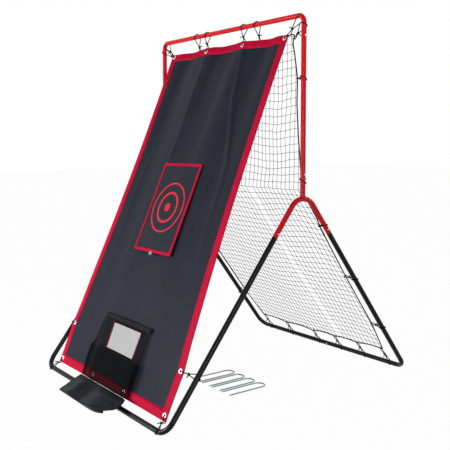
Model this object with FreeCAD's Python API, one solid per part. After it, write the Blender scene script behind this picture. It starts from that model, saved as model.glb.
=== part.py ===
import FreeCAD, Part
import math
import os

V = FreeCAD.Vector
X_AXIS = V(1, 0, 0)
Y_AXIS = V(0, 1, 0)
Z_AXIS = V(0, 0, 1)

# Pitching target: a knock-down tube frame with a sloping cloth target in front and a net behind.
# All sizes are millimetres. X runs to the right as the thrower sees it, Y to the rear, Z up.

# Frame of steel tube
overall_height = 1830.0
frame_width = 1206.0      # between the centres of the left and the right tubes
half_depth = 766.0        # from the plane of the posts to the centre of each bottom bar
tube_od = 25.0
tube_wall = 1.2
top_bend = 60.0           # centreline radius of the two top corners
base_bend = 60.0          # centreline radius of the four bottom corners
fork_bend = 85.0          # centreline radius of the fork's crown
meet_height = 1019.0      # where the lines of a front and a rear leg would cross
stub_rise = 36.0          # of the seam between fork and post above that crossing
top_leg = 72.5            # of a top tube's ends, from its bar's centre down to their seams
arm_length = 285.0        # from the crossing of the leg lines down an arm to its seam
tube_r = tube_od / 2
bore_r = tube_r - tube_wall
bend_step = 18.0          # degrees that a bend turns at each of its mitres
bore_sides = 12           # bores and plugs are flat-sided; the plug's corners clear the bore's flats
side_x = frame_width / 2
top_z = overall_height - tube_r
bar_z = tube_r
stub_seam = meet_height + stub_rise
post_seam = top_z - top_leg

# Swaged ends that plug into the next tube
plug_length = 45.0
plug_gap = 0.15           # all round, between the plug and the bore that takes it
swage_length = 4.0        # of the solid collar at the seam
plug_r = bore_r - plug_gap
plug_bore_r = plug_r - tube_wall

# Snap buttons and their folded leaf springs
button_set = 22.0         # from the seam to the button's centre
button_r = 4.0
button_gap = 0.15         # all round, in both holes
button_proud = 3.0        # above the outside of the tube
button_sides = 10
leaf_width = 8.0
leaf_thick = 0.8
leaf_tail = 8.0           # of the leaf beyond the button's centre
leaf_run = 26.0           # of the leaf from the button's centre to its fold
leaf_clear = 0.35         # between a leaf's corners and the bore round it
leaf_split = 0.4          # between the moving leaf's end and the fold
leaf_nose = 5.0           # of the fold beyond the leaf's end
leaf_top = math.sqrt((plug_bore_r - leaf_clear) ** 2 - (leaf_width / 2) ** 2)

# Target cloth, measured down its slope from the row of top eyelets to the row of bottom eyelets
top_drop = 96.5           # of the top eyelets below the top bar's centre
top_forward = 3.0         # of the top eyelets in front of that centre
bottom_rise = 49.5        # of the bottom eyelets above the front bar's centre
bottom_back = 50.0        # of the bottom eyelets behind that centre
cloth_thick = 1.0
top_in = 100.0            # of the cloth's top corners inside the centres of the side tubes
waist_in = 101.0          # the same where the cloth is narrowest
waist_down = 0.42         # of the way down the cloth
bottom_in = 63.0          # the same at its bottom corners
pull_in = 56.0            # the same where the side ties pull its edges out
edge_margin = 24.0        # from an eyelet's centre to the edge beside it
top_margin = 23.0         # the same for the two top corners
corner_droop = 8.0        # of the top corners
edge_wave = 3.0           # of the hem between two eyelets
side_eyelet_up = 196.0    # of a side eyelet above the bottom row
fold_depths = [(-70.0, 10.0), (700.0, 4.0)]   # down from the top eyelets, depth of the folds there
fold_end = (94.273, 2.0)  # the same past the cloth's foot, but down from the bottom eyelets
top_width = frame_width - 2 * top_in
waist_width = frame_width - 2 * waist_in
bottom_width = frame_width - 2 * bottom_in
pull_width = frame_width - 2 * pull_in
eyelet_pitch = (top_width - 2 * top_margin) / 3      # between neighbours along the top

# Folded binding round the edges of the cloth
hem_width = 45.0
bind_thick = 1.1
bind_gap = 0.3            # to the cloth inside it

# Eyelets
eye_r = 6.0
eye_barrel = 1.0
eye_flange_r = 12.0
eye_flange_thick = 0.9
eye_seat = 0.45           # between a flange and the binding under it
eye_sides = 8

# Strike flap: a bound panel hung at its top edge over the strike opening
strike_width = 342.0
strike_height = 485.0
strike_top = 655.0        # down the slope from the top eyelets
strike_overlap = 26.0     # of the panel over the opening on each side
strike_bind = 16.0        # width of its binding
strike_rise = 7.0         # how far its foot stands further out than its head
strike_bow = 4.0          # of its middle
strike_side_bow = 0.4     # of that bow which its head and foot have
tab_width = 24.0
tab_length = 16.0
tab_on = 4.0              # of the tab that lies over the panel's binding
opening_corner = 12.0     # radius of the corners of the strike opening
past_edge = 0.05          # share by which a sheet is made too large before it is cut to its outline

# Exit window, mesh sleeve and flap at the foot
window_width = 262.0
window_height = 128.0
window_up = 279.727       # of its upper edge above the bottom eyelets, along the cloth
window_bind = 10.0
sleeve_width = 446.0
sleeve_up = 315.727       # of its upper edge above the bottom eyelets, along the cloth
sleeve_thick = 0.8
sleeve_bow = 6.0          # of the sleeve's front between its sides
sleeve_depths = [(0.0, 2.0), (0.25, 11.0), (0.5, 25.0), (0.7, 30.0)]   # share of its length, depth
flap_width = 434.0
sleeve_end_in = 3.5       # of the sleeve's lower edge behind the front bar's rear side
flap_lap = 0.4            # of the flap's upper edge in front of the sleeve's lower one
flap_below = 0.5          # of the flap's upper edge under the sleeve's lower one
flap_reach = 107.0        # of its lower edge in front of the front bar's centre
flap_rise = 45.5          # of the sleeve's lower edge above that centre
flap_thick = 1.2
flap_floor = 1.0          # clear under its lower edge
flap_bulges = [(-0.5, 2.0), (-0.22, 9.0), (0.05, 3.0), (0.3, 11.0), (0.5, 15.0)]
flap_crest = 0.42         # of the way down, where the flap bulges most
flap_above_crest = 0.75   # share of its bulge half-way from the head to the crest
flap_below_crest = 0.7    # share of its bulge half-way from the crest to the foot

# Net and its edge rope. The real meshes are 36 mm; these are wider and fewer
rope_r = 2.2
rope_gap = 0.3            # to the strand beside it
rope_knot_wide = 1.1      # of the rope's radius, the radius of the knot that joins its ends
rope_knot_long = 4.0      # of the rope's radius, that knot's length
strand = 3.0
net_columns = 9
upper_rows = 6
lower_rows = 9
net_top_back = 22.0       # of the net's upper edge behind the top bar's centre

# Places that the rope passes: how far inside the side tube's centre, and how far down. The upper ones count
# down from the top bar, the lower ones down the rear leg from the crossing; foot places have their own x.
# They are given for a frame of these three sizes, and stretch with a frame of others.
drawn_post = 798.5        # from the top bar's centre down to the crossing
drawn_leg = (766.0, 1006.5)                          # depth and height of a rear leg
drawn_half = 603.0        # from the middle to a side tube's centre
top_middle_place = (603.0, 93.5)
corner_place = (81.0, 75.5)
upper_places = [(99.0, 111.5), (83.0, 177.5), (62.0, 286.5), (63.0, 401.5), (50.0, 557.5), (31.0, 707.5),
                (22.0, 764.5)]
fold_place = (20.0, 20.0)
lower_places = [(27.0, 204.0), (38.0, 247.0), (52.0, 457.0), (59.0, 591.0), (65.0, 800.0), (67.0, 943.0)]
foot_places = [(-505.0, 1160.0), (-290.0, 1172.0), (-48.0, 1175.0), (132.0, 1170.0), (312.0, 1169.0),
               (505.0, 1156.0)]
scallop = 13.0            # rise of the foot rope between two ties
corner_tie_down = 0.62    # of a top corner's tie down the rope's first run, as a share of it
corner_inset = 0.22       # of a corner tie along the foot rope, as a share of its first run
top_droop = 3.0           # of the top rope between two ties

# Elastic ties
tie_r = 1.7
tie_clear = 0.5           # between a loop and the tube that it goes round
tie_spread = 22.0         # between the two strands of a loop, along the tube
knot_r = 4.2
knot_sides = 6
close_knot = 12.0         # moves a knot to the rear, where the rope runs close to the post
strand_part = 0.9         # of the cord's radius, from a knot's centre to each of the two strands it joins
loop_slips = (0.7, 0.3)   # of a loop's half spread, at the corners of its turn round the tube
eye_knot = 0.52           # of the way from the tube to the eyelet
net_knot = 0.6            # of the way from the tube to the rope, for the ties of its top and foot
side_knot = 0.62          # the same, for the ties of its sides
top_swing = 52.0          # degrees up a top corner's bend, of the cloth's corner ties
net_swing = 14.0          # the same, of the net's corner ties
side_tie_drop = 15.0      # of a side tie's loop on the leg below its eyelet
post_tie_drop = 4.0       # of a net tie's loop on the post below its place on the rope
post_ties = [(2, 0.0), (6, close_knot)]              # place on the net's upper edge, how far its knot moves
leg_ties = [(1, -10.0), (3, 12.0), (5, 12.0)]        # place on the lower edge, its loop's shift down the leg
foot_spread = 1.01        # of the loops on the rear bar, against the places on the foot rope
knot_length = 9.0
edge_past = 5.0           # of an eyelet loop beyond the cloth's edge before it turns to its knot
floor_clear = 0.4         # under a loop that is pressed flat below a bottom bar
tie_sound = 0.75          # of its pieces' volume that a whole tie has at least
knot_twists = (0.21, 0.37, 0.05, 0.6, 0.83)          # turns of a knot's flats, tried until the tie is sound

# Ground stakes of bent wire, laid flat inside the frame
stake_length = 245.0
stake_width = 62.0        # between the centres of its prongs
stake_wire_r = 3.5
stake_sides = 6
stake_point = 12.0
stake_round = 0.98        # of half its width, the radius of its crown
stake_count = 4
stake_pitch = 84.0
stake_x = 330.0           # of the first one
stake_y = -250.0          # of the prongs' points

# The origin is under the middle of the whole set, so the posts' plane stands a little behind it
front_reach = half_depth + flap_reach
rear_reach = half_depth + tube_r + tie_clear + 2 * tie_r
post_y = (front_reach - rear_reach) / 2

os.makedirs("parts", exist_ok=True)


def save(name, solids):
    """Write one node, moved from the posts' plane to the set's own origin."""
    moved = Part.makeCompound(solids)
    moved.translate(V(0, post_y, 0))
    moved.exportStep("parts/" + name + ".step")
    good = all(s.isValid() for s in moved.Solids)
    print("%-22s solids %2d  valid %s  %9.0f mm3" % (name, len(moved.Solids), good, moved.Volume))


def unit(vector):
    return V(vector).normalize()


def closed(points):
    """A closed outline through points."""
    return Part.makePolygon(points + points[:1])


def mirrored(shape):
    """The same piece for the left side."""
    return shape.mirror(V(0, 0, 0), X_AXIS)


def placed(shape, origin, along, up):
    """Turn a shape made about its own origin so that its X runs along and its Z runs up."""
    across = up.cross(along)
    matrix = FreeCAD.Matrix(along.x, across.x, up.x, origin.x,
                            along.y, across.y, up.y, origin.y,
                            along.z, across.z, up.z, origin.z,
                            0, 0, 0, 1)
    result = shape.copy()
    result.Placement = FreeCAD.Placement(matrix)
    return result


def bent(points, bend):
    """Put a fan of mitres, tangent to an arc of one radius, in place of each corner of a path."""
    path = [points[0]]
    for before, corner, after in zip(points, points[1:], points[2:]):
        back = unit(before - corner)
        ahead = unit(after - corner)
        turn = math.pi - back.getAngle(ahead)
        count = max(1, round(math.degrees(turn) / bend_step))
        centre = corner + unit(back + ahead) * (bend / math.cos(turn / 2))
        spoke = bend / math.cos(turn / count / 2)
        inward = unit(back + ahead) * -1
        swing = unit(ahead - back)
        for i in range(count):
            angle = turn * ((i + 0.5) / count - 0.5)
            path.append(centre + inward * (spoke * math.cos(angle)) + swing * (spoke * math.sin(angle)))
    return path + [points[-1]]


def rod(points, bend, radius, sides=0):
    """A bar along a bent path, round or with a number of flat sides."""
    path = bent(points, bend)
    ahead = unit(path[1] - path[0])
    ring = polygon_ring(path[0], ahead, radius, sides) if sides else Part.Wire(
        Part.Circle(path[0], ahead, radius).toShape())
    return Part.makePolygon(path).makePipeShell([ring], True, False, 1)


def tube(points, bend):
    """A hollow tube along a bent path, open at both ends."""
    first = points[0] + unit(points[0] - points[1]) * tube_wall
    last = points[-1] + unit(points[-1] - points[-2]) * tube_wall
    bore = rod([first] + points[1:-1] + [last], bend, around(bore_r, bore_sides), bore_sides)
    return rod(points, bend, tube_r).cut(bore)


def around(radius, sides):
    """The corner radius of a flat-sided ring whose flats lie at a radius."""
    return radius / math.cos(math.pi / sides)


def polygon_ring(centre, ahead, radius, sides, twist=0.0):
    """A closed outline with flat sides, square to a direction."""
    aside = Z_AXIS if abs(ahead.dot(Z_AXIS)) < 0.9 else X_AXIS
    first = unit(aside.cross(ahead))
    second = unit(ahead.cross(first))
    points = []
    for i in range(sides):
        turn = 2 * math.pi * i / sides + twist
        points.append(centre + first * (radius * math.cos(turn)) + second * (radius * math.sin(turn)))
    return closed(points)


def disc(centre, ahead, radius, length, sides, twist=0.0):
    """A flat-sided disc or pin."""
    return Part.Face(polygon_ring(centre, ahead, radius, sides, twist)).extrude(ahead * length)


def swage(seam, ahead):
    """A tube's reduced end: a collar up to the seam, and a hollow plug past it."""
    start = seam - ahead * swage_length
    collar = Part.makeCylinder(tube_r, swage_length, start, ahead)
    plug = collar.fuse(disc(start, ahead, plug_r, swage_length + plug_length, bore_sides))
    return plug.cut(disc(start, ahead, plug_bore_r, swage_length + plug_length, bore_sides))


def button_hole(seam, ahead, outward):
    """What drills a button's hole through one wall."""
    centre = seam + ahead * button_set
    return disc(centre, outward, around(button_r + button_gap, button_sides), tube_od, button_sides)


# Frame pieces
leg_down = unit(V(0, half_depth, bar_z - meet_height))      # down a rear leg
crossing = V(side_x, 0, meet_height)
front_down = V(0, -leg_down.y, leg_down.z)
crown_half = math.atan2(half_depth, meet_height - bar_z)
crown_z = meet_height - fork_bend * (1 / math.sin(crown_half) - 1)
mid_top = V(0, 0, top_z)
mid_front = V(0, -half_depth, bar_z)
mid_rear = V(0, half_depth, bar_z)

# Every plugged joint of the frame: the seam, the way the plug points, and the way its button looks out
joints = {
    "top_mid": (mid_top, X_AXIS, V(0, 0, -1)),
    "front_mid": (mid_front, X_AXIS * -1, Y_AXIS),
    "rear_mid": (mid_rear, X_AXIS, V(0, -1, 0)),
}
for side, sign in (("right", 1), ("left", -1)):
    out = X_AXIS * sign
    joints["post_top_" + side] = (V(sign * side_x, 0, post_seam), V(0, 0, -1), out)
    joints["post_foot_" + side] = (V(sign * side_x, 0, stub_seam), V(0, 0, 1), out)
    for leg, down in (("front", front_down), ("rear", leg_down)):
        seam = V(sign * side_x, 0, meet_height) + down * arm_length
        joints["%s_leg_%s" % (leg, side)] = (seam, down * -1, out)


def drilled(shape, names):
    """Cut the button holes of the joints named."""
    for name in names:
        shape = shape.cut(button_hole(*joints[name]))
    return shape.removeSplitter()


def plugged(shape, names):
    """Add the swaged plugs of the joints named."""
    for name in names:
        seam, ahead, outward = joints[name]
        shape = shape.fuse(swage(seam, ahead))
    return shape


def top_tube(side, sign):
    corner = V(sign * side_x, 0, top_z)
    end = V(sign * side_x, 0, post_seam + swage_length)
    start = mid_top if side == "right" else mid_top - X_AXIS * swage_length
    plugs = ["post_top_" + side] if side == "right" else ["post_top_left", "top_mid"]
    shape = plugged(tube([start, corner, end], top_bend), plugs)
    return drilled(shape, ["post_top_" + side, "top_mid"])


def post():
    shape = tube([V(side_x, 0, stub_seam), V(side_x, 0, post_seam)], top_bend)
    return drilled(shape, ["post_top_right", "post_foot_right"])


def fork():
    """An inverted V with a round crown, and a stub welded on it that plugs into the post."""
    ends = [crossing + front_down * arm_length, crossing + leg_down * arm_length]
    past = [crossing + front_down * (arm_length + tube_wall), crossing + leg_down * (arm_length + tube_wall)]
    crown = V(side_x, 0, crown_z)
    stub = Part.makeCylinder(tube_r, stub_seam - swage_length - crown_z, crown, Z_AXIS)
    stub_floor = crown + Z_AXIS * tube_r
    stub_bore = disc(stub_floor, Z_AXIS, around(bore_r, bore_sides), stub_seam - crown_z - tube_r, bore_sides)
    shape = rod([ends[0], crossing, ends[1]], fork_bend, tube_r).fuse(stub)
    bore = rod([past[0], crossing, past[1]], fork_bend, around(bore_r, bore_sides), bore_sides)
    shape = shape.cut(bore).cut(stub_bore)
    shape = plugged(shape, ["post_foot_right"])
    return drilled(shape, ["post_foot_right", "front_leg_right", "rear_leg_right"])


def base(side, sign):
    """One rear leg, its bottom corner and half of the rear bar."""
    name = "rear_leg_" + side
    start = joints[name][0] + leg_down * swage_length
    corner = V(sign * side_x, half_depth, bar_z)
    end = mid_rear if side == "right" else mid_rear - X_AXIS * swage_length
    plugs = [name] if side == "right" else [name, "rear_mid"]
    shape = plugged(tube([start, corner, end], base_bend), plugs)
    return drilled(shape, [name, "rear_mid"])


def half_turned(shape):
    """The same two base pieces serve at the front, each on the other side."""
    turned = shape.copy()
    turned.rotate(V(0, 0, 0), Z_AXIS, 180)
    return turned


for side, sign in (("right", 1), ("left", -1)):
    other = "left" if side == "right" else "right"
    save("top_tube_" + side, [top_tube(side, sign)])
    save("rear_base_" + side, [base(side, sign)])
    save("front_base_" + side, [half_turned(base(other, -sign))])
for name, shape in (("post", post()), ("fork", fork())):
    save(name + "_right", [shape])
    save(name + "_left", [mirrored(shape)])


def snap_button():
    """The button on its leaf, about the joint's own axes: X along the plug, Z outwards."""
    top = tube_r + button_proud
    foot = V(0, 0, leaf_top - leaf_thick / 2)
    pin = disc(foot, Z_AXIS, button_r, top - foot.z, button_sides)
    leaf = Part.makeBox(leaf_run + leaf_tail - leaf_split, leaf_width, leaf_thick,
                        V(leaf_split - leaf_run, -leaf_width / 2, leaf_top - leaf_thick))
    return leaf.fuse(pin).removeSplitter()


def snap_spring():
    """The half of the folded leaf that stays put: a leg on the far wall, and the fold up to the button."""
    t, end, nose = leaf_thick, -leaf_run, -leaf_run - leaf_nose
    outline = [(leaf_tail, -leaf_top), (leaf_tail, t - leaf_top), (end, t - leaf_top),
               (nose + t, t - leaf_top / 2), (nose + t, leaf_top / 2 - t),
               (end, leaf_top - t), (end, leaf_top), (end - t, leaf_top),
               (nose, leaf_top / 2), (nose, -leaf_top / 2), (end - t, -leaf_top)]
    points = [V(x, -leaf_width / 2, z) for x, z in outline]
    return Part.Face(closed(points)).extrude(Y_AXIS * leaf_width)


springs = []
for name in sorted(joints):
    seam, ahead, outward = joints[name]
    centre = seam + ahead * button_set
    save("button_" + name, [placed(snap_button(), centre, ahead, outward)])
    springs.append(placed(snap_spring(), centre, ahead, outward))
save("snap_springs", springs)


# Target cloth: x across, v down the slope from the top eyelets, n out of its face towards the thrower
hang_top = V(0, -top_forward, top_z - top_drop)
hang_foot = V(0, bottom_back - half_depth, bar_z + bottom_rise)
slope = unit(hang_foot - hang_top)
face_out = V(0, slope.z, -slope.y)
drape = hang_top.distanceToPoint(hang_foot)
fold_table = fold_depths + [(drape + fold_end[0], fold_end[1])]
window_top = drape - window_up
sleeve_top = drape - sleeve_up
fold_pitch = eyelet_pitch / 2
fold_reach = 3.5          # pitches from the middle to the end of the folded sheet
fold_runs = 3
fold_crest = 1.5          # the crest of a fold is flat over a third of its pitch
cut_depth = 60.0          # of a cutting block, on each side of the cloth


def at(x, v, n):
    return hang_top + V(x, 0, 0) + slope * v + face_out * n


def between(table, place):
    """Read a table of (place, value) along straight lines."""
    for (a, low), (b, high) in zip(table, table[1:]):
        if place <= b:
            return low + (high - low) * (place - a) / (b - a)
    return table[-1][1]


def fold_height(x, v):
    """How far the folded sheet stands out of its mean plane: out at the eyelets, in between them."""
    step = round(x / fold_pitch)
    away = abs(x - step * fold_pitch) / (fold_pitch / 2)
    sign = 1 if step % 2 else -1
    return sign * between(fold_table, v) * min(1.0, (1 - away) * fold_crest)


def fold_line(v, n):
    """One level line of the folded sheet, in three straight runs to each fold."""
    points = []
    steps = int(2 * fold_reach * fold_runs)
    for i in range(steps + 1):
        x = (i / fold_runs - fold_reach) * fold_pitch
        points.append(at(x, v, n + fold_height(x, v)))
    return points


def folded_slab(back, front):
    """The whole sheet between two offsets from its middle, before it is cut to an outline."""
    wires = [closed(fold_line(v, front) + fold_line(v, back)[::-1]) for v, depth in fold_table]
    return Part.makeLoft(wires, True, True)


def prism(edges):
    """A block that runs right through the sheet, with an outline drawn at n = 0."""
    block = Part.Face(Part.Wire(edges)).extrude(face_out * (2 * cut_depth))
    block.translate(face_out * -cut_depth)
    return block


def chain(points):
    """Edges through (x, v) points; a point given with a third entry True is passed by an arc."""
    edges = []
    i = 0
    while i < len(points) - 1:
        here = at(points[i][0], points[i][1], 0)
        if len(points[i + 1]) == 3:
            over = at(points[i + 1][0], points[i + 1][1], 0)
            i += 2
            edges.append(Part.Arc(here, over, at(points[i][0], points[i][1], 0)).toShape())
        else:
            i += 1
            edges.append(Part.LineSegment(here, at(points[i][0], points[i][1], 0)).toShape())
    return edges


def cloth_outline(inset):
    """The cloth's edge: a slack top, waisted sides that the side ties pull out, and a straight foot."""
    top = inset - edge_margin
    foot = drape + edge_margin - inset
    half_top = top_width / 2 - inset
    half_waist = waist_width / 2 - inset
    half_foot = bottom_width / 2 - inset
    half_pull = pull_width / 2 - inset
    pull = drape - side_eyelet_up
    near = eyelet_pitch / 2
    right = [(half_top, top + corner_droop), (half_waist, drape * waist_down, True), (half_pull, pull),
             (half_foot, (pull + foot) / 2, True), (half_foot, foot)]
    left = [(-p[0],) + tuple(p[1:]) for p in reversed(right)]
    brow = [(-near * 2, top + edge_wave - corner_droop / 4, True), (-near, top), (0, top - edge_wave, True),
            (near, top), (near * 2, top + edge_wave - corner_droop / 4, True)]
    return chain(left + brow + right + [left[0]])


def panel_outline(width, top, height, corner):
    """A rectangle with round corners, centred on the cloth."""
    w, low = width / 2, top + height
    c = corner
    s = c * (1 - math.sqrt(0.5))
    if c == 0:
        return chain([(-w, top), (w, top), (w, low), (-w, low), (-w, top)])
    return chain([(-w + c, top), (w - c, top), (w - s, top + s, True), (w, top + c), (w, low - c),
                  (w - s, low - s, True), (w - c, low), (-w + c, low), (-w + s, low - s, True), (-w, low - c),
                  (-w, top + c), (-w + s, top + s, True), (-w + c, top)])


def eyelet_places():
    """(x, v) of the eyelets: four along the top, four along the foot, one on each side."""
    half = eyelet_pitch / 2
    foot_corner = bottom_width / 2 - edge_margin
    pull_x = pull_width / 2 - edge_margin
    return {"top": [(-3 * half, 0), (-half, 0), (half, 0), (3 * half, 0)],
            "foot": [(-foot_corner, drape), (-half, drape), (half, drape), (foot_corner, drape)],
            "side": [(-pull_x, drape - side_eyelet_up), (pull_x, drape - side_eyelet_up)]}


def cloth_out(x, v):
    """Square out of the folded sheet at one place."""
    rise = (fold_height(x + 1, v) - fold_height(x - 1, v)) / 2
    return unit(face_out - X_AXIS * rise)


half_cloth = cloth_thick / 2
half_pocket = half_cloth + bind_gap
half_bound = half_pocket + bind_thick
thin_slab = folded_slab(-half_cloth, half_cloth)
pocket_slab = folded_slab(-half_pocket, half_pocket)
bound_slab = folded_slab(-half_bound, half_bound)

barrel_r = eye_r + eye_barrel
all_eyelets = [p for row in eyelet_places().values() for p in row]


def with_eyelet_holes(shape):
    for x, v in all_eyelets:
        out = cloth_out(x, v)
        low = at(x, v, fold_height(x, v)) - out * (2 * half_bound)
        shape = shape.cut(disc(low, out, barrel_r + bind_gap, 4 * half_bound, eye_sides))
    return shape


fold_in = bind_thick + bind_gap
strike_hole = panel_outline(strike_width - 2 * strike_overlap, strike_top + strike_overlap,
                            strike_height - 2 * strike_overlap, opening_corner)
window_cut = panel_outline(window_width + 2 * fold_in, window_top - fold_in, window_height + 2 * fold_in, 0)
curtain = thin_slab.common(prism(cloth_outline(fold_in)))
curtain = curtain.cut(prism(strike_hole)).cut(prism(window_cut))
curtain = with_eyelet_holes(curtain)
save("target_curtain", [curtain])

hem_band = prism(cloth_outline(0)).cut(prism(cloth_outline(hem_width)))
hem_pocket = prism(cloth_outline(bind_thick))
binding = bound_slab.common(hem_band).cut(pocket_slab.common(hem_pocket))
save("curtain_binding", [with_eyelet_holes(binding)])

window_hole = prism(panel_outline(window_width, window_top, window_height, 0))
window_outer = prism(panel_outline(window_width + 2 * window_bind, window_top - window_bind,
                                   window_height + 2 * window_bind, 0))
window_fold = prism(panel_outline(window_width + 2 * bind_thick, window_top - bind_thick,
                                  window_height + 2 * bind_thick, 0))
window_frame = bound_slab.common(window_outer.cut(window_hole))
save("window_binding", [window_frame.cut(pocket_slab.common(window_outer.cut(window_fold)))])


def eyelet(x, v):
    """A pressed eyelet: a barrel through the hem with a flange on each face."""
    out = cloth_out(x, v)
    reach = half_bound + eye_seat + eye_flange_thick
    low = at(x, v, fold_height(x, v)) - out * reach
    far = low + out * (2 * reach - eye_flange_thick)
    shape = disc(low, out, barrel_r, 2 * reach, eye_sides)
    shape = shape.fuse(disc(low, out, eye_flange_r, eye_flange_thick, eye_sides))
    shape = shape.fuse(disc(far, out, eye_flange_r, eye_flange_thick, eye_sides))
    return shape.cut(disc(low, out, eye_r, 2 * reach, eye_sides)).removeSplitter()


save("eyelets", [eyelet(x, v) for x, v in all_eyelets])


# Strike flap
strike_foot = strike_top + strike_height
strike_seat = between(fold_table, strike_top) + half_cloth + bind_gap + half_bound


def flap_level(v):
    """How far the flap's middle layer stands out at its sides."""
    down = (v - strike_top) / strike_height
    return strike_seat + strike_rise * down * down


def strike_slab(back, front):
    wires = []
    w = strike_width * (0.5 + past_edge)
    for part, bow in ((-past_edge, strike_side_bow), (0.5, 1), (1 + past_edge, strike_side_bow)):
        v = strike_top + strike_height * part
        n = flap_level(v)
        crown = n + strike_bow * bow
        outer = [(-w, n + front), (-w / 3, crown + front), (w / 3, crown + front), (w, n + front)]
        inner = [(-w, n + back), (-w / 3, crown + back), (w / 3, crown + back), (w, n + back)]
        wires.append(closed([at(x, v, out) for x, out in outer + inner[::-1]]))
    return Part.makeLoft(wires, True, True)


def strike_block(inset):
    return prism(panel_outline(strike_width - 2 * inset, strike_top + inset, strike_height - 2 * inset, 0))


save("strike_panel", [strike_slab(-half_cloth, half_cloth).common(strike_block(fold_in))])
strike_edge = strike_slab(-half_bound, half_bound).common(strike_block(0).cut(strike_block(strike_bind)))
strike_edge = strike_edge.cut(strike_slab(-half_pocket, half_pocket).common(strike_block(bind_thick)))
save("strike_binding", [strike_edge])
tab = panel_outline(tab_width, strike_foot - tab_on, tab_length, 0)
tab_level = half_bound + bind_gap
save("strike_tab", [strike_slab(tab_level, tab_level + bind_thick).common(prism(tab))])


# Mesh sleeve over the window, and the flap that hangs from it over the front bar
sleeve_end = V(0, -half_depth + tube_r + sleeve_end_in, bar_z + flap_rise)
end_n = (sleeve_end - hang_top).dot(face_out)
end_v = (sleeve_end - hang_top).dot(slope)
sleeve_lip = at(0, end_v, end_n + sleeve_bow / 2)
flap_head = sleeve_lip - V(0, flap_lap, flap_below)
flap_foot = V(0, -half_depth - flap_reach, flap_floor + flap_thick)


def sleeve_seat(v):
    """How far out the sleeve's side edges lie on the cloth."""
    return fold_height(sleeve_width / 2, v) + half_bound + bind_gap


def sleeve_section(down, depth):
    """One level of the sleeve: a foot on the cloth at each side, two short walls and a bowed front."""
    t = sleeve_thick
    w = sleeve_width / 2
    v = sleeve_top + (end_v - sleeve_top) * down
    n = sleeve_seat(v)
    outer = [(-w, n), (-w + t, n + depth), (-w / 2, n + depth + sleeve_bow), (w / 2, n + depth + sleeve_bow),
             (w - t, n + depth), (w, n)]
    inner = [(-w + t, n), (-w + 2 * t, n + depth - t), (-w / 2, n + depth + sleeve_bow - t),
             (w / 2, n + depth + sleeve_bow - t), (w - 2 * t, n + depth - t), (w - t, n)]
    return closed([at(x, v, out) for x, out in outer + inner[::-1]])


sleeve_foot = end_n - sleeve_seat(end_v) - sleeve_bow / 2
sections = [sleeve_section(down, depth) for down, depth in sleeve_depths + [(1.0, sleeve_foot)]]
save("mesh_sleeve", [Part.makeLoft(sections, True, True)])


def flap_section(x, bulge):
    """One cut across the flap, from its upper edge out over the bar and down to the ground."""
    head = flap_head + V(x, 0, 0)
    foot = flap_foot + V(x, 0, 0)
    run = foot - head
    up = unit(V(0, run.z, -run.y))
    over = [head, head + run * (flap_crest / 2) + up * (bulge * flap_above_crest),
            head + run * flap_crest + up * bulge,
            head + run * (0.5 + flap_crest / 2) + up * (bulge * flap_below_crest), foot]
    under = [p - up * flap_thick for p in over]
    return closed(under + over[::-1])


save("chute_flap", [Part.makeLoft([flap_section(flap_width * s, b) for s, b in flap_bulges], True, True)])


# Net: an upright panel behind the target, and one that follows the rear legs
post_stretch = (top_z - meet_height) / drawn_post
leg_stretch = math.hypot(half_depth, meet_height - bar_z) / math.hypot(*drawn_leg)


def by_post(place):
    """A place beside the post as (x, z)."""
    return side_x - place[0] * side_x / drawn_half, top_z - place[1] * post_stretch


def by_leg(place):
    """A place beside the rear leg as (x, way down the leg)."""
    return side_x - place[0] * side_x / drawn_half, place[1] * leg_stretch


net_top_z = by_post(top_middle_place)[1]
net_corner = by_post(corner_place)
upper_edge = [by_post(p) for p in upper_places]
fold_node = by_leg(fold_place)
lower_edge = [by_leg(p) for p in lower_places]
foot_nodes = [(x * side_x / drawn_half, down * leg_stretch) for x, down in foot_places]
fold_y = fold_node[1] * leg_down.y
fold_z = meet_height + fold_node[1] * leg_down.z


def upper_at(x, z):
    """A place on the upper panel, which leans back a little towards its fold."""
    down = (net_corner[1] - z) / (net_corner[1] - fold_z)
    return V(x, net_top_back + (fold_y - net_top_back) * down, z)


def lower_at(x, d):
    """A place on the lower panel, d down the rear legs from where the leg lines cross."""
    return V(x, 0, meet_height) + leg_down * d


lower_out = unit(X_AXIS.cross(leg_down))


def cord(points, radius, sides, twist=0.0):
    """A cord of flat-sided section along straight runs with mitred corners."""
    path = Part.makePolygon(points)
    ring = polygon_ring(points[0], unit(points[1] - points[0]), radius, sides, twist)
    return path.makePipeShell([ring], True, False, 1)


def knot(centre, ahead, radius, length, twist):
    """A flat-sided lump that stands for a tight knot."""
    return disc(centre - ahead * (length / 2), ahead, radius, length, knot_sides, twist)


def foot_line():
    """The foot rope rises in a low scallop between each two ties."""
    line = []
    for (xa, da), (xb, db) in zip(foot_nodes, foot_nodes[1:]):
        for f in (0, 0.25, 0.5, 0.75):
            line.append((xa + (xb - xa) * f, da + (db - da) * f - scallop * 4 * f * (1 - f)))
    return line + [foot_nodes[-1]]


def mirror_row(pairs):
    return [(-x, s) for x, s in reversed(pairs)]


def top_line():
    """The top rope droops between its ties."""
    x, z = net_corner
    low = (z + net_top_z) / 2 - top_droop
    return [(-x, z), (-x / 2, low), (0, net_top_z), (x / 2, low), (x, z)]


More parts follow.
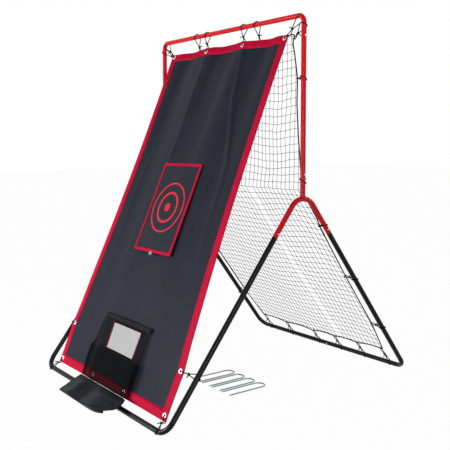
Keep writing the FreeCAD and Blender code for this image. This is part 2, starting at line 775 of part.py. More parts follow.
def edge_rope():
    """One rope all round the net, with its ends joined in a knot under the top bar."""
    top = top_line()
    half = len(top) // 2
    right = [upper_at(*p) for p in top[half:] + upper_edge]
    right += [lower_at(*p) for p in [fold_node] + lower_edge]
    foot = [lower_at(*p) for p in foot_line()[::-1]]
    left = [lower_at(*p) for p in mirror_row([fold_node] + lower_edge)]
    left += [upper_at(*p) for p in mirror_row(upper_edge) + top[:half]]
    start = V(right[0].x + rope_r, right[0].y, right[0].z)
    end = V(right[0].x - rope_r, right[0].y, right[0].z)
    middle = knot(right[0], X_AXIS, rope_r * rope_knot_wide, rope_r * rope_knot_long, knot_twists[0])
    return fused([cord([start] + right[1:] + foot + left + [end], rope_r, 4, math.pi / 4), middle])


def fused(shapes):
    """Join pieces, and give the bare solid where they make just one."""
    whole = shapes[0].multiFuse(shapes[1:])
    return whole.Solids[0] if len(whole.Solids) == 1 else whole


save("net_edge_rope", [edge_rope()])


def inside(points, gap):
    """Move a ring of (x, s) points in by a gap, square to each corner."""
    count = len(points)
    moved = []
    for i in range(count):
        (xa, sa), (xb, sb), (xc, sc) = points[i - 1], points[i], points[(i + 1) % count]
        one, two = unit(V(xb - xa, sb - sa, 0)), unit(V(xc - xb, sc - sb, 0))
        normal = unit(V(-one.y - two.y, one.x + two.x, 0))
        reach = gap / max(0.5, normal.dot(V(-one.y, one.x, 0)))
        moved.append((xb + normal.x * reach, sb + normal.y * reach))
    return moved


def net_panel(outline, place, rows, top, foot):
    """One flat holed sheet: the outline, less a grid of meshes that stop a strand short of its edge."""
    gap = rope_r + rope_gap
    ring = inside(outline, gap)
    inner = inside(outline, gap + strand)
    sheet = Part.Face(Part.makePolygon([place(*p) for p in ring] + [place(*ring[0])]))
    lining = Part.Face(Part.makePolygon([place(*p) for p in inner] + [place(*inner[0])]))
    reach = max(p[0] for p in outline)
    pitch_x = 2 * reach / net_columns
    pitch_s = (foot - top) / rows
    meshes = []
    for i in range(net_columns):
        for j in range(rows):
            x0 = -reach + i * pitch_x + strand / 2
            x1 = x0 + pitch_x - strand
            s0 = top + j * pitch_s + (strand / 2 if j else -strand)
            s1 = top + (j + 1) * pitch_s - (strand / 2 if j < rows - 1 else -strand)
            hole = Part.Face(Part.makePolygon([place(x0, s0), place(x1, s0), place(x1, s1), place(x0, s1),
                                               place(x0, s0)]))
            meshes.append(hole.common(lining))
    sheet = sheet.cut(Part.makeCompound(meshes))
    normal = sheet.Faces[0].normalAt(0, 0)
    solid = sheet.extrude(normal * strand)
    solid.translate(normal * (-strand / 2))
    return solid


upper_side = upper_edge + [(fold_node[0], fold_z)]
upper_ring = top_line() + upper_side + mirror_row(upper_side)
save("net_upper", [net_panel(upper_ring[::-1], upper_at, upper_rows, fold_z + strand, net_top_z)])
lower_side = [fold_node] + lower_edge
lower_ring = lower_side + foot_line()[::-1] + mirror_row(lower_side)
save("net_lower", [net_panel(lower_ring, lower_at, lower_rows, fold_node[1] + strand, foot_nodes[2][1])])


# Elastic ties: a loop round the tube, a knot, and a loop through the eyelet or round the rope
loop_r = tube_r + tie_clear + tie_r


def tube_loop(centre, along, knot_at):
    """The strands that leave the knot a little apart, and the turn that goes round the tube."""
    towards = unit(knot_at - centre)
    towards = unit(towards - along * towards.dot(along))
    aside = unit(along.cross(towards))
    corner = loop_r * math.tan(math.pi / 8)
    slip = along * (tie_spread / 2)
    outer, inner = loop_slips
    near = [aside * loop_r + towards * corner + slip,
            aside * loop_r - towards * corner + slip * outer,
            aside * corner - towards * loop_r + slip * inner]
    far = [aside * -corner - towards * loop_r - slip * inner,
           aside * -loop_r - towards * corner - slip * outer,
           aside * -loop_r + towards * corner - slip]
    part = along * (tie_r * strand_part)
    return cord([knot_at + part] + [centre + p for p in near + far] + [knot_at - part], tie_r, 4)


def eye_loop(eye, through, knot_at, twist):
    """The strand that goes down one face, through the eyelet and back up the other face."""
    towards = knot_at - eye
    towards = unit(towards - through * towards.dot(through))
    stand = half_bound + eye_seat + eye_flange_thick + tie_r + tie_clear
    reach = edge_margin / max(abs(towards.x), abs(towards.dot(slope))) + edge_past
    part = through * (tie_r * strand_part)
    points = [knot_at + part, eye + through * stand + towards * reach, eye + through * stand,
              eye - through * stand, eye - through * stand + towards * reach, knot_at - part]
    return cord(points, tie_r, 4, twist)


def rope_loop(node, rope_way, out_of_net, knot_at, twist):
    """A small turn round the edge rope and the net's first strand."""
    aside = unit(out_of_net - rope_way * out_of_net.dot(rope_way))
    towards = aside.cross(rope_way)
    if towards.dot(knot_at - node) < 0:
        towards = towards * -1
    stand = rope_r + tie_r + tie_clear
    inner = rope_r + rope_gap + strand + tie_r + 2 * tie_clear
    part = aside * (tie_r * strand_part)
    points = [knot_at + part, node + aside * stand + towards * stand, node + aside * stand - towards * inner,
              node - aside * stand - towards * inner, node - aside * stand + towards * stand, knot_at - part]
    return cord(points, tie_r, 4, twist)


def above_floor(shape):
    """Keep what is above the ground: a loop is pressed flat where a bottom bar stands on it."""
    box = shape.BoundBox
    if box.ZMin > floor_clear:
        return shape
    block = Part.makeBox(box.XLength + 2, box.YLength + 2, box.ZLength + 2,
                         V(box.XMin - 1, box.YMin - 1, floor_clear))
    return shape.common(block)


def tie(centre, along, loop, knot_at):
    """One whole tie: the turn round the tube, the knot, and the lower loop."""
    towards = unit(knot_at - centre)
    turn = tube_loop(centre, along, knot_at)
    for twist in knot_twists:
        pieces = [knot(knot_at, towards, knot_r, knot_length, twist), turn, loop(twist)]
        whole = fused(pieces)
        sound = len(whole.Solids) == 1 and whole.isValid()
        if sound and whole.Volume > tie_sound * sum(piece.Volume for piece in pieces):
            return above_floor(whole)
    raise ValueError("the tie at %s is not one sound piece" % knot_at)


def part_way(a, b, share):
    return a + (b - a) * share


def on_bend(sign, degrees):
    """A place on a top corner's bend, counted up from the post, and the way the tube runs there."""
    swing = math.radians(degrees)
    inwards, down = top_bend * (1 - math.cos(swing)), top_bend * (1 - math.sin(swing))
    centre = V(sign * (side_x - inwards), 0, top_z - down)
    return centre, V(-sign * math.sin(swing), 0, math.cos(swing))


def curtain_ties(row):
    """The ties of one row of eyelets: those of the left half, and the same mirrored."""
    made = []
    for x, v in eyelet_places()[row]:
        if x > 0:
            continue
        eye = at(x, v, fold_height(x, v))
        out = cloth_out(x, v)
        sign = -1
        if row == "top" and abs(x) > eyelet_pitch:
            centre, along = on_bend(sign, top_swing)
        elif row == "top":
            centre, along = V(x, 0, top_z), X_AXIS
        elif row == "foot" and abs(x) > eyelet_pitch:
            centre = V(sign * (side_x - base_bend), -half_depth, bar_z)
            along = X_AXIS
        elif row == "foot":
            centre, along = V(x, -half_depth, bar_z), X_AXIS
        else:
            level = eye.z - side_tie_drop
            down = (meet_height - level) / -front_down.z
            centre, along = V(sign * side_x, 0, meet_height) + front_down * down, front_down
        knot_at = part_way(centre, eye, eye_knot)
        made.append(tie(centre, along, lambda twist: eye_loop(eye, out, knot_at, twist), knot_at))
    return made + [mirrored(shape) for shape in made]


def net_tie(centre, along, node, rope_way, out_of_net, share=net_knot, to_rear=0.0):
    knot_at = part_way(centre, node, share) + Y_AXIS * to_rear
    return tie(centre, along, lambda twist: rope_loop(node, rope_way, out_of_net, knot_at, twist), knot_at)


def net_top_ties():
    corner, inner = top_line()[:2]
    below = (-upper_edge[0][0], upper_edge[0][1])
    node = part_way(upper_at(*corner), upper_at(*below), corner_tie_down)
    way = unit(upper_at(*below) - upper_at(*corner))
    centre, along = on_bend(-1, net_swing)
    made = [net_tie(V(inner[0], 0, top_z), X_AXIS, upper_at(*inner), X_AXIS, Y_AXIS),
            net_tie(centre, along, node, way, Y_AXIS)]
    return made + [mirrored(shape) for shape in made]


def net_side_ties():
    """The ties of the net's right edge."""
    made = []
    for i, to_rear in post_ties:
        x, z = upper_edge[i]
        centre = V(side_x, 0, z - post_tie_drop)
        made.append(net_tie(centre, Z_AXIS, upper_at(x, z), Z_AXIS, Y_AXIS, side_knot, to_rear))
    for i, on_leg in leg_ties:
        x, d = lower_edge[i]
        centre = lower_at(side_x, d + on_leg)
        made.append(net_tie(centre, leg_down, lower_at(x, d), leg_down, lower_out, side_knot))
    return made


def net_foot_ties():
    """The ties of the foot rope; the two at the corners hold it a little inside them."""
    made = []
    line = foot_line()
    nodes = [lower_at(*p) for p in foot_nodes]
    nodes[0] = part_way(nodes[0], lower_at(*line[1]), corner_inset)
    nodes[-1] = part_way(nodes[-1], lower_at(*line[-2]), corner_inset)
    reach = side_x - base_bend
    for node in nodes:
        centre = V(max(-reach, min(reach, node.x * foot_spread)), half_depth, bar_z)
        made.append(net_tie(centre, X_AXIS, node, X_AXIS, lower_out))
    return made


save("curtain_top_ties", curtain_ties("top"))
save("curtain_foot_ties", curtain_ties("foot"))
save("curtain_side_ties", curtain_ties("side"))
save("net_top_ties", net_top_ties())
save("net_ties_right", net_side_ties())
save("net_ties_left", [mirrored(shape) for shape in net_side_ties()])
save("net_foot_ties", net_foot_ties())


def stake():
    """A U of wire with two chisel points, lying on the ground with its crown to the rear."""
    half = stake_width / 2
    crown_y = stake_length - stake_wire_r
    corners = [V(-half, 0, 0), V(-half, crown_y, 0), V(half, crown_y, 0), V(half, 0, 0)]
    r = stake_wire_r
    wire = rod(corners, half * stake_round, r, stake_sides)
    for x in (-half, half):
        tip = closed([V(x - r, -1, -r), V(x - r, stake_point, r), V(x - r, -1, r)])
        wire = wire.cut(Part.Face(tip).extrude(X_AXIS * (2 * r)))
    return wire


for i in range(stake_count):
    lying = stake()
    lift = -lying.BoundBox.ZMin
    lying.translate(V(stake_x - i * stake_pitch, stake_y, lift))
    save("ground_stake_%d" % (i + 1), [lying])
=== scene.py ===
# %% [markdown]
# # A pitching target with a catch net
# The object is a knock-down frame of painted steel tube. A sloping cloth target hangs in front of it, and a
# knotted net behind catches the balls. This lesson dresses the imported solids: each step says what the piece is on
# the real object, and why it is made the way it is here. All lengths are metres.

# %% Load the frame
import math
import bpy
import bmesh
import numpy as np
from mathutils import Matrix, Vector


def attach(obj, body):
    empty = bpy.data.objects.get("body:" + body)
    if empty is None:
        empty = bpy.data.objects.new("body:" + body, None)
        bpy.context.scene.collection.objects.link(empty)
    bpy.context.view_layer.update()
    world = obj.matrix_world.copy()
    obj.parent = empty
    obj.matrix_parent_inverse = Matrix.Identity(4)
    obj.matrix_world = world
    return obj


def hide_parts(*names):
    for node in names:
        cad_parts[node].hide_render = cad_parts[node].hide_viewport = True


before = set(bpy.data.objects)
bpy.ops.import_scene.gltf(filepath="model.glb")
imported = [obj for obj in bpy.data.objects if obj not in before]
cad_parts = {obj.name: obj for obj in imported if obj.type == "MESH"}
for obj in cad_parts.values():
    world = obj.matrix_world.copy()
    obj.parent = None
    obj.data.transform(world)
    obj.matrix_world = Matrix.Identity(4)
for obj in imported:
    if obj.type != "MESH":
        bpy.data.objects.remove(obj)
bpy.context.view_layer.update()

# %% [markdown]
# ## The camera
# The camera stands to the right of the thrower, a little above the middle of the target. Its lens is a short
# telephoto, and the picture plane is shifted down so that the posts stay upright.

# %% Camera
def placed(name, data):
    """A new object in the scene."""
    item = bpy.data.objects.new(name, data)
    bpy.context.collection.objects.link(item)
    return item


camera_data = bpy.data.cameras.new("camera")
camera_data.sensor_width = 36.0
camera_data.lens = 56.717
camera_data.shift_y = -0.0710
camera = placed("camera", camera_data)
camera.location = (3.0388, -2.2450, 1.2168)
camera.rotation_euler = (math.radians(90 - 3.885), 0.0, math.radians(53.035))
bpy.context.scene.camera = camera
bpy.context.scene.view_settings.view_transform = "Standard"
print("camera at", tuple(round(c, 3) for c in camera.location))

# %% [markdown]
# ## Small helpers for node trees
# Every finish and every pattern is a tree of nodes. One function adds a node, sets its properties and fills its
# inputs, either with a plain value or with another node's output. Shorter ones add the kinds that come up often.

# %% Helpers for node trees
def linear(code):
    """An sRGB hex colour as the linear RGBA that a socket takes."""
    parts = [int(code[i:i + 2], 16) / 255 for i in (0, 2, 4)]
    return tuple(c / 12.92 if c <= 0.04045 else ((c + 0.055) / 1.055) ** 2.4 for c in parts) + (1.0,)


def add(tree, kind, settings=None, links=None):
    """Add one node with its settings, and fill its inputs with values or with other nodes' outputs."""
    made = tree.nodes.new(kind)
    for name, value in (settings or {}).items():
        setattr(made, name, value)
    for name, value in (links or {}).items():
        if isinstance(value, bpy.types.NodeSocket):
            tree.links.new(value, made.inputs[name])
        else:
            made.inputs[name].default_value = value
    return made


def new_finish(name, **sockets):
    """A material with one shader, whose own sockets are set here."""
    material = bpy.data.materials.new(name)
    material.use_nodes = True
    tree = material.node_tree
    shader = tree.nodes["Principled BSDF"]
    for socket, value in sockets.items():
        shader.inputs[socket.replace("_", " ")].default_value = value
    return material, tree, shader


def maths(tree, operation, *values):
    return add(tree, "ShaderNodeMath", {"operation": operation}, dict(enumerate(values))).outputs[0]


def mixed(tree, share, dark, light):
    """A colour between two hex colours."""
    return add(tree, "ShaderNodeMix", {"data_type": "RGBA"},
               {0: share, 6: linear(dark), 7: linear(light)}).outputs[2]


def noise(tree, where, scale, detail):
    """Clouds from 0 to 1; scale is how many there are to a metre."""
    return add(tree, "ShaderNodeTexNoise",
               links={"Vector": where, "Scale": scale, "Detail": detail}).outputs["Fac"]


def ranged(tree, value, **ends):
    """A value moved to another range. An end that isn't given stays at 0 or 1."""
    ends = {end.replace("_", " "): number for end, number in ends.items()}
    return add(tree, "ShaderNodeMapRange", links={"Value": value, **ends}).outputs[0]


def relief(tree, shader, strength, distance, height):
    """Let a height show as bumps in the shader."""
    bump = add(tree, "ShaderNodeBump", links={"Strength": strength, "Distance": distance, "Height": height})
    tree.links.new(bump.outputs["Normal"], shader.inputs["Normal"])


# %% [markdown]
# ## Studio
# Four soft lamps light the object: a broad one low in front, for the flap and the foot of the cloth, a tall strip
# on each side, which draws a line of light down the tubes, and a broad one behind. The floor and the world look
# white to the camera and in reflections, while the light that they throw on the object stays at a plain level.

# %% Floor, world and lamps
def seen_or_mirrored(tree):
    """1 where the camera looks, straight, in a mirror or through glass, and 0 for light that falls on things."""
    path = add(tree, "ShaderNodeLightPath").outputs
    either = maths(tree, "MAXIMUM", path["Is Camera Ray"], path["Is Glossy Ray"])
    return maths(tree, "MAXIMUM", either, path["Is Transmission Ray"])


far, white = 30, (1, 1, 1, 1)
floor_mesh = bpy.data.meshes.new("floor")
floor_mesh.from_pydata([(-far, -far, 0), (far, -far, 0), (far, far, 0), (-far, far, 0)], [], [(0, 1, 2, 3)])
placed("floor", floor_mesh)
floor_finish, tree, shader = new_finish("matt_paper_floor", Roughness=0.9)
shader.inputs["Base Color"].default_value = linear("D8D8D6")
glow = add(tree, "ShaderNodeEmission", links={"Color": white, "Strength": 1.0})
both = add(tree, "ShaderNodeMixShader", links={0: maths(tree, "MULTIPLY", seen_or_mirrored(tree), 0.97),
                                               1: shader.outputs[0], 2: glow.outputs[0]})
tree.links.new(both.outputs[0], tree.nodes["Material Output"].inputs["Surface"])
floor_mesh.materials.append(floor_finish)

world = bpy.data.worlds.new("studio")
bpy.context.scene.world = world
world.use_nodes = True
tree = world.node_tree
tree.nodes.clear()
strength = add(tree, "ShaderNodeMix", {"data_type": "FLOAT"}, {0: seen_or_mirrored(tree), 2: 0.12, 3: 1.0})
sky = add(tree, "ShaderNodeBackground", links={"Color": white, "Strength": strength.outputs[0]})
add(tree, "ShaderNodeOutputWorld", links={"Surface": sky.outputs[0]})


def lamp(name, place, target, size, power):
    data = bpy.data.lights.new(name, "AREA")
    data.shape = "RECTANGLE"
    data.size, data.size_y = size
    data.energy = power
    lit = placed(name, data)
    lit.location = place
    lit.rotation_euler = (Vector(target) - Vector(place)).to_track_quat("-Z", "Y").to_euler()


lamp("front_softbox", (-0.8, -3.5, 0.8), (0.0, -0.6, 0.15), (2.2, 1.2), 100)
lamp("left_strip", (-3.2, -3.6, 1.5), (0.3, 0.0, 0.9), (0.25, 2.6), 34)
lamp("side_strip", (4.2, -1.8, 1.7), (0.2, 0.0, 0.9), (0.4, 2.8), 60)
lamp("rear_softbox", (1.8, 4.2, 2.6), (0.2, 0.2, 0.9), (2.2, 1.6), 45)
print("floor, world and four lamps")

# %% [markdown]
# ## Paint on steel tube
# The tubes are mild steel with a baked powder coat: glossy, a little wavy where the powder flowed (orange peel),
# and a touch darker where it is thin. Red is on the upper frame and black on the two bases.

# %% Tube paints and metals
def powder_coat(name, deep, bright):
    material, tree, shader = new_finish(name, Roughness=0.3, IOR=1.45, Specular_IOR_Level=0.16)
    where = add(tree, "ShaderNodeTexCoord").outputs["Object"]
    # Clouds of 40 mm in the coat's depth
    cloud = noise(tree, where, 25.0, 3.0)
    tree.links.new(mixed(tree, cloud, deep, bright), shader.inputs["Base Color"])
    # Orange peel is about 1 mm across; drawn at 3 mm so that it shows
    relief(tree, shader, 0.03, 0.0003, noise(tree, where, 330.0, 1.0))
    tree.links.new(ranged(tree, cloud, To_Min=0.15, To_Max=0.24), shader.inputs["Roughness"])
    return material


def drawn_steel(name, dark, light, roughness, streak=260.0):
    """Bare metal with fine scratches and a mottled surface."""
    material, tree, shader = new_finish(name, Metallic=1.0)
    grain = noise(tree, add(tree, "ShaderNodeTexCoord").outputs["Object"], streak, 4.0)
    tree.links.new(mixed(tree, grain, dark, light), shader.inputs["Base Color"])
    rough = ranged(tree, grain, To_Min=roughness * 0.75, To_Max=roughness * 1.25)
    tree.links.new(rough, shader.inputs["Roughness"])
    return material


finishes = {
    "red_paint": powder_coat("red_powder_coat", "CC0612", "E2121E"),
    "black_paint": powder_coat("black_powder_coat", "030304", "08080A"),
    "spring_steel": drawn_steel("blued_spring_steel", "5A5F68", "8A9098", 0.35),
    "button_steel": drawn_steel("zinc_plated_steel", "A9ADB2", "D6D9DC", 0.22),
    "eyelet_steel": drawn_steel("nickel_plated_brass", "C4C6C8", "F0F0F1", 0.3),
    "stake_steel": drawn_steel("galvanised_wire", "6E7278", "A2A6AB", 0.34, 120.0),
}
print("metal finishes", sorted(finishes))

# %% [markdown]
# ## Woven cloth, tape, netting twine and covered elastic
# The target is coated oxford polyester: a plain weave with a dull sheen. Its hem is woven tape with ribs across it.
# Both patterns follow the cloth, so they read the piece's own UV map, which is the flat cut in metres. Cords have
# a braided cover: their UV map runs along and around them.

# %% Cloth and cord finishes
def woven(name, dark, light, thread, roughness, sheen, ribs, gloss):
    """Cloth of threads that cross; ribs leaves out the ones that run across."""
    material, tree, shader = new_finish(name, Roughness=roughness, Sheen_Weight=sheen, Sheen_Roughness=0.4,
                                        Specular_IOR_Level=gloss)
    where = add(tree, "ShaderNodeTexCoord").outputs
    colour = mixed(tree, noise(tree, where["Object"], 7.0, 4.0), dark, light)
    flat = add(tree, "ShaderNodeMapping", links={"Vector": where["UV"], "Scale": (1 / thread, 1 / thread, 1.0)})
    warp, weft = [add(tree, "ShaderNodeTexWave", {"bands_direction": way},
                      {"Vector": flat.outputs[0], "Scale": 0.314}).outputs["Fac"] for way in "XY"]
    cross = maths(tree, "MULTIPLY", warp, 1.0 if ribs else weft)
    # The colour is multiplied by the weave's height: darker where the threads dip, which is painted shade, and
    # lighter on their crests, which is painted highlight
    shaded_colour = add(tree, "ShaderNodeMix", {"data_type": "RGBA", "blend_type": "MULTIPLY"},
               {0: 1.0, 6: colour, 7: ranged(tree, cross, To_Min=0.88, To_Max=1.1)}).outputs[2]
    tree.links.new(shaded_colour, shader.inputs["Base Color"])
    relief(tree, shader, 0.25, thread / 6, cross)
    return material, tree, shader, shaded_colour


def braided(name, dark, light, pitch):
    """A braided cover: two sets of strands that wind opposite ways round the cord."""
    material, tree, shader = new_finish(name, Roughness=0.6, Specular_IOR_Level=0.15)
    split = add(tree, "ShaderNodeSeparateXYZ", links={0: add(tree, "ShaderNodeTexCoord").outputs["UV"]}).outputs
    along = maths(tree, "DIVIDE", split[0], pitch)
    strands = 4.0
    wound = [maths(tree, "MULTIPLY_ADD", split[1], turn * strands, along) for turn in (1.0, -1.0)]
    heights = [maths(tree, "SINE", maths(tree, "MULTIPLY", turns, 2 * math.pi)) for turns in wound]
    fibre = ranged(tree, maths(tree, "MAXIMUM", *heights), From_Min=-0.4)
    # The colour follows the strands' height: the dark colour in the grooves between the strands is painted shade,
    # and the light one on their crests is painted highlight
    tree.links.new(mixed(tree, fibre, dark, light), shader.inputs["Base Color"])
    relief(tree, shader, 0.4, 0.0005, fibre)
    return material


# Oxford thread is about 0.5 mm; it is drawn at 3 mm, the finest that shows from the camera. Each row has the name,
# the dark and the light colour, the thread, the roughness, the sheen, whether it is ribbed, and the gloss
cloths = {"curtain_cloth": ("coated_oxford_polyester", "10141F", "1B202D", 0.003, 0.44, 0.04, False, 0.07),
          "red_binding": ("red_woven_tape", "A4002A", "C80438", 0.004, 0.7, 0.0, True, 0.1),
          "tab_webbing": ("grey_woven_tape", "74777E", "A0A3AA", 0.003, 0.6, 0.2, True, 0.25),
          "flap_cloth": ("thin_coated_polyester", "070A11", "10151F", 0.003, 0.36, 0.03, False, 0.06),
          "black_mesh": ("knitted_black_mesh", "020203", "050607", 0.004, 0.9, 0.0, False, 0.05),
          "black_tape": ("black_woven_tape", "040507", "0B0D11", 0.003, 0.7, 0.0, True, 0.12)}
# Each cord has its name, its colour in the grooves, which is painted shade, its colour on the strands' crests,
# which is painted highlight, and the braid's pitch
cords = {"net_cord": ("knotted_polyester_twine", "060607", "131417", 0.006),
         "net_rope": ("braided_polyester_rope", "020203", "0A0A0C", 0.012),
         "elastic_cord": ("covered_elastic_cord", "020203", "09090B", 0.008)}
finishes.update({slot: woven(*look)[0] for slot, look in cloths.items()})
finishes.update({slot: braided(*look) for slot, look in cords.items()})
print("cloth and cord finishes ready,", len(finishes), "in all")

# %% [markdown]
# ## Making pieces
# A piece's mesh is made from lists of points and faces in the same frame as the solids. It then rides on its body,
# names the material slot it is painted from, and replaces the plain solid that holds its place.

# %% Helpers for pieces
def piece_from(name, mesh, body, slot, nodes=(), sharp=None, finish=None):
    """Finish a mesh as one piece: shading, paint, body and the solids that it stands for."""
    piece = placed(name, mesh)
    mesh.materials.clear()
    mesh.materials.append(finishes[finish or slot])
    mesh.polygons.foreach_set("use_smooth", [True] * len(mesh.polygons))
    if sharp is not None:
        mesh.set_sharp_from_angle(angle=math.radians(sharp))
    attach(piece, body)
    if nodes:
        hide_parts(*nodes)
    return piece


def mesh_from(name, points, faces, uv=None):
    """A mesh, with one UV pair for each corner of each face."""
    mesh = bpy.data.meshes.new(name)
    mesh.from_pydata([tuple(p) for p in points], [], faces)
    if uv is not None:
        layer = mesh.uv_layers.new(name="UVMap")
        layer.data.foreach_set("uv", np.asarray(uv, float).ravel())
    mesh.validate()
    return mesh


def shaped(name, shape, *about, **more):
    """A piece straight from its points, faces and UV."""
    return piece_from(name, mesh_from(name, *shape), *about, **more)


def circle(sides):
    """The cosine and the sine at each corner of a ring."""
    return [(math.cos(2 * math.pi * k / sides), math.sin(2 * math.pi * k / sides)) for k in range(sides)]


def cells(rings, count, closed=False, round_ring=True):
    """The cells between neighbouring rings of points: ring, next ring, place in it, next place."""
    for i in range(rings if closed else rings - 1):
        for k in range(count if round_ring else count - 1):
            yield i, (i + 1) % rings, k, (k + 1) % count


def rounded(points, bend, step=6.0):
    """A path with an arc of one radius in place of each inner corner."""
    points = [Vector(p) for p in points]
    path = [points[0]]
    for before, corner, after in zip(points, points[1:], points[2:]):
        back, ahead = (before - corner).normalized(), (after - corner).normalized()
        turn = math.pi - back.angle(ahead)
        if turn < 0.01:
            path.append(corner)
            continue
        radius = min(bend, 0.48 * min((before - corner).length, (after - corner).length) / math.tan(turn / 2))
        centre = corner + (back + ahead).normalized() * (radius / math.cos(turn / 2))
        start = corner + back * (radius * math.tan(turn / 2)) - centre
        axis = back.cross(ahead).normalized() * -1
        count = max(2, math.ceil(math.degrees(turn) / step))
        path += [centre + Matrix.Rotation(turn * i / count, 3, axis) @ start for i in range(count + 1)]
    return path + [points[-1]]


def sweep(path, radius, sides, closed=False, rings=None):
    """Points, faces and UV of a round bar. rings gives another radius for some of the path's points."""
    path = [Vector(p) for p in path]
    count, corners = len(path), circle(sides)
    aside = None
    points, along = [], [0.0]
    for i, here in enumerate(path):
        before = path[i - 1] if i or closed else here
        after = path[(i + 1) % count] if i < count - 1 or closed else here
        ahead = (after - before).normalized()
        if aside is None:
            aside = ahead.orthogonal().normalized()
        aside = (aside - ahead * aside.dot(ahead)).normalized()
        other = ahead.cross(aside)
        r = rings[i] if rings else radius
        points += [here + (aside * c + other * s) * r for c, s in corners]
        if i:
            along.append(along[-1] + (here - path[i - 1]).length)
    if closed:
        along.append(along[-1] + (path[0] - path[-1]).length)
    faces, uv = [], []
    for i, j, k, m in cells(count, sides, closed):
        faces.append((i * sides + k, i * sides + m, j * sides + m, j * sides + k))
        a, b, c, d = along[i], along[i + 1], k / sides, (k + 1) / sides
        uv += [(a, c), (a, d), (b, d), (b, c)]
    if not closed:
        for start, order, a in ((0, -1, along[0]), ((count - 1) * sides, 1, along[-1])):
            faces.append(tuple(range(start, start + sides))[::order])
            uv += [(a, k / sides) for k in range(sides)]
    return points, faces, uv


def joined(parts):
    """Several (points, faces, uv) as one."""
    points, faces, uv = [], [], []
    for p, f, t in parts:
        base = len(points)
        points += list(p)
        faces += [tuple(i + base for i in face) for face in f]
        uv += list(t)
    return points, faces, uv


# %% [markdown]
# ## The tube frame
# Real tubes of this kind are bent cold on a roller, so each corner is one smooth arc. A bar swept along the tube's
# centreline gives just that. Each end is eased a little, which draws the thin dark line of the slip joint. The
# holes for the snap buttons are cut with a boolean.

# %% Frame sizes
post_y = 0.0453
side_x = 0.603
top_z = 1.8175
bar_z = 0.0125
half_depth = 0.766
tube_r = 0.0125
meet_height = 1.019
leg_down = Vector((0, half_depth, bar_z - meet_height)).normalized()
front_down = Vector((0, -leg_down.y, leg_down.z))
arm_length = 0.285
stub_seam = 1.055
post_seam = 1.745
button_set = 0.022
corner_bend = 0.060
X_AXIS, Y_AXIS, Z_AXIS = Vector((1, 0, 0)), Vector((0, 1, 0)), Vector((0, 0, 1))

# Each plugged joint: the seam, the way its plug points and the way its button looks out
joints = {"top_mid": (Vector((0, post_y, top_z)), X_AXIS, -Z_AXIS),
          "front_mid": (Vector((0, post_y - half_depth, bar_z)), -X_AXIS, Y_AXIS),
          "rear_mid": (Vector((0, post_y + half_depth, bar_z)), X_AXIS, -Y_AXIS)}
for side, sign in (("right", 1), ("left", -1)):
    out = X_AXIS * sign
    for joint, z, plug in (("post_top_", post_seam, -Z_AXIS), ("post_foot_", stub_seam, Z_AXIS)):
        joints[joint + side] = (Vector((sign * side_x, post_y, z)), plug, out)
    for leg, down in (("front", front_down), ("rear", leg_down)):
        seam = Vector((sign * side_x, post_y, meet_height)) + down * arm_length
        joints["%s_leg_%s" % (leg, side)] = (seam, -down, out)
print("plugged joints", len(joints))

# %% Tubes
end_ease = 0.0008
button_hole_r = 0.0042
drill_in, drill_out = 0.009, 0.006
tube_sides, tube_step = 40, 5.0


def button_place(joint):
    """Where a joint's button crosses the tube's face, and the way it looks out."""
    seam, ahead, outward = joints[joint]
    return seam + ahead * button_set + outward * tube_r, outward


def boolean(mesh, tool, operation):
    body, cutter = placed("body", mesh), placed("cutter", tool)
    step = body.modifiers.new("cut", "BOOLEAN")
    step.operation, step.solver, step.object = operation, "EXACT", cutter
    result = bpy.data.meshes.new_from_object(body.evaluated_get(bpy.context.evaluated_depsgraph_get()))
    bpy.data.objects.remove(body)
    bpy.data.objects.remove(cutter)
    return result


def tube_piece(name, mesh, slot, node, holes):
    """Drill the button holes of these joints, and finish the tube as a piece."""
    for hole in holes:
        centre, outward = button_place(hole)
        bit = [centre - outward * drill_in, centre + outward * drill_out]
        mesh = boolean(mesh, mesh_from("drill", *sweep(bit, button_hole_r, 20)), "DIFFERENCE")
    mesh.name = name
    piece_from(name, mesh, "frame", slot, [node], 35)


def tube(name, corners, slot, node, holes=()):
    """One tube with eased ends and its button holes."""
    path = rounded(corners, corner_bend, tube_step)
    first, last = (path[1] - path[0]).normalized(), (path[-1] - path[-2]).normalized()
    path = [path[0], path[0] + first * end_ease] + path[1:-1] + [path[-1] - last * end_ease, path[-1]]
    rings = [tube_r] * len(path)
    rings[0] = rings[-1] = tube_r - end_ease
    tube_piece(name, mesh_from(name, *sweep(path, tube_r, tube_sides, rings=rings)), slot, node, holes)


for side, sign in (("right", 1), ("left", -1)):
    x = sign * side_x
    tube("painted_top_tube_" + side, [(0, post_y, top_z), (x, post_y, top_z), (x, post_y, post_seam)], "red_paint",
         "top_tube_" + side, ("top_mid",) if side == "right" else ())
    tube("painted_post_" + side, [(x, post_y, stub_seam), (x, post_y, post_seam)], "red_paint", "post_" + side,
         ("post_top_" + side, "post_foot_" + side))
    for leg, bar_y in (("front", post_y - half_depth), ("rear", post_y + half_depth)):
        seam = joints["%s_leg_%s" % (leg, side)][0]
        has_mid = (leg == "front") == (side == "left")
        tube("painted_%s_base_%s" % (leg, side), [seam, (x, bar_y, bar_z), (0, bar_y, bar_z)], "black_paint",
             "%s_base_%s" % (leg, side), (leg + "_mid",) if has_mid else ())
print("straight and bent tubes done")

# %% [markdown]
# ## The two forks
# Each fork is one tube bent into an upside-down V, with a short stub welded on its crown. Two swept bars joined by
# a union look like that weld once a thin bead is laid round the stub's foot.

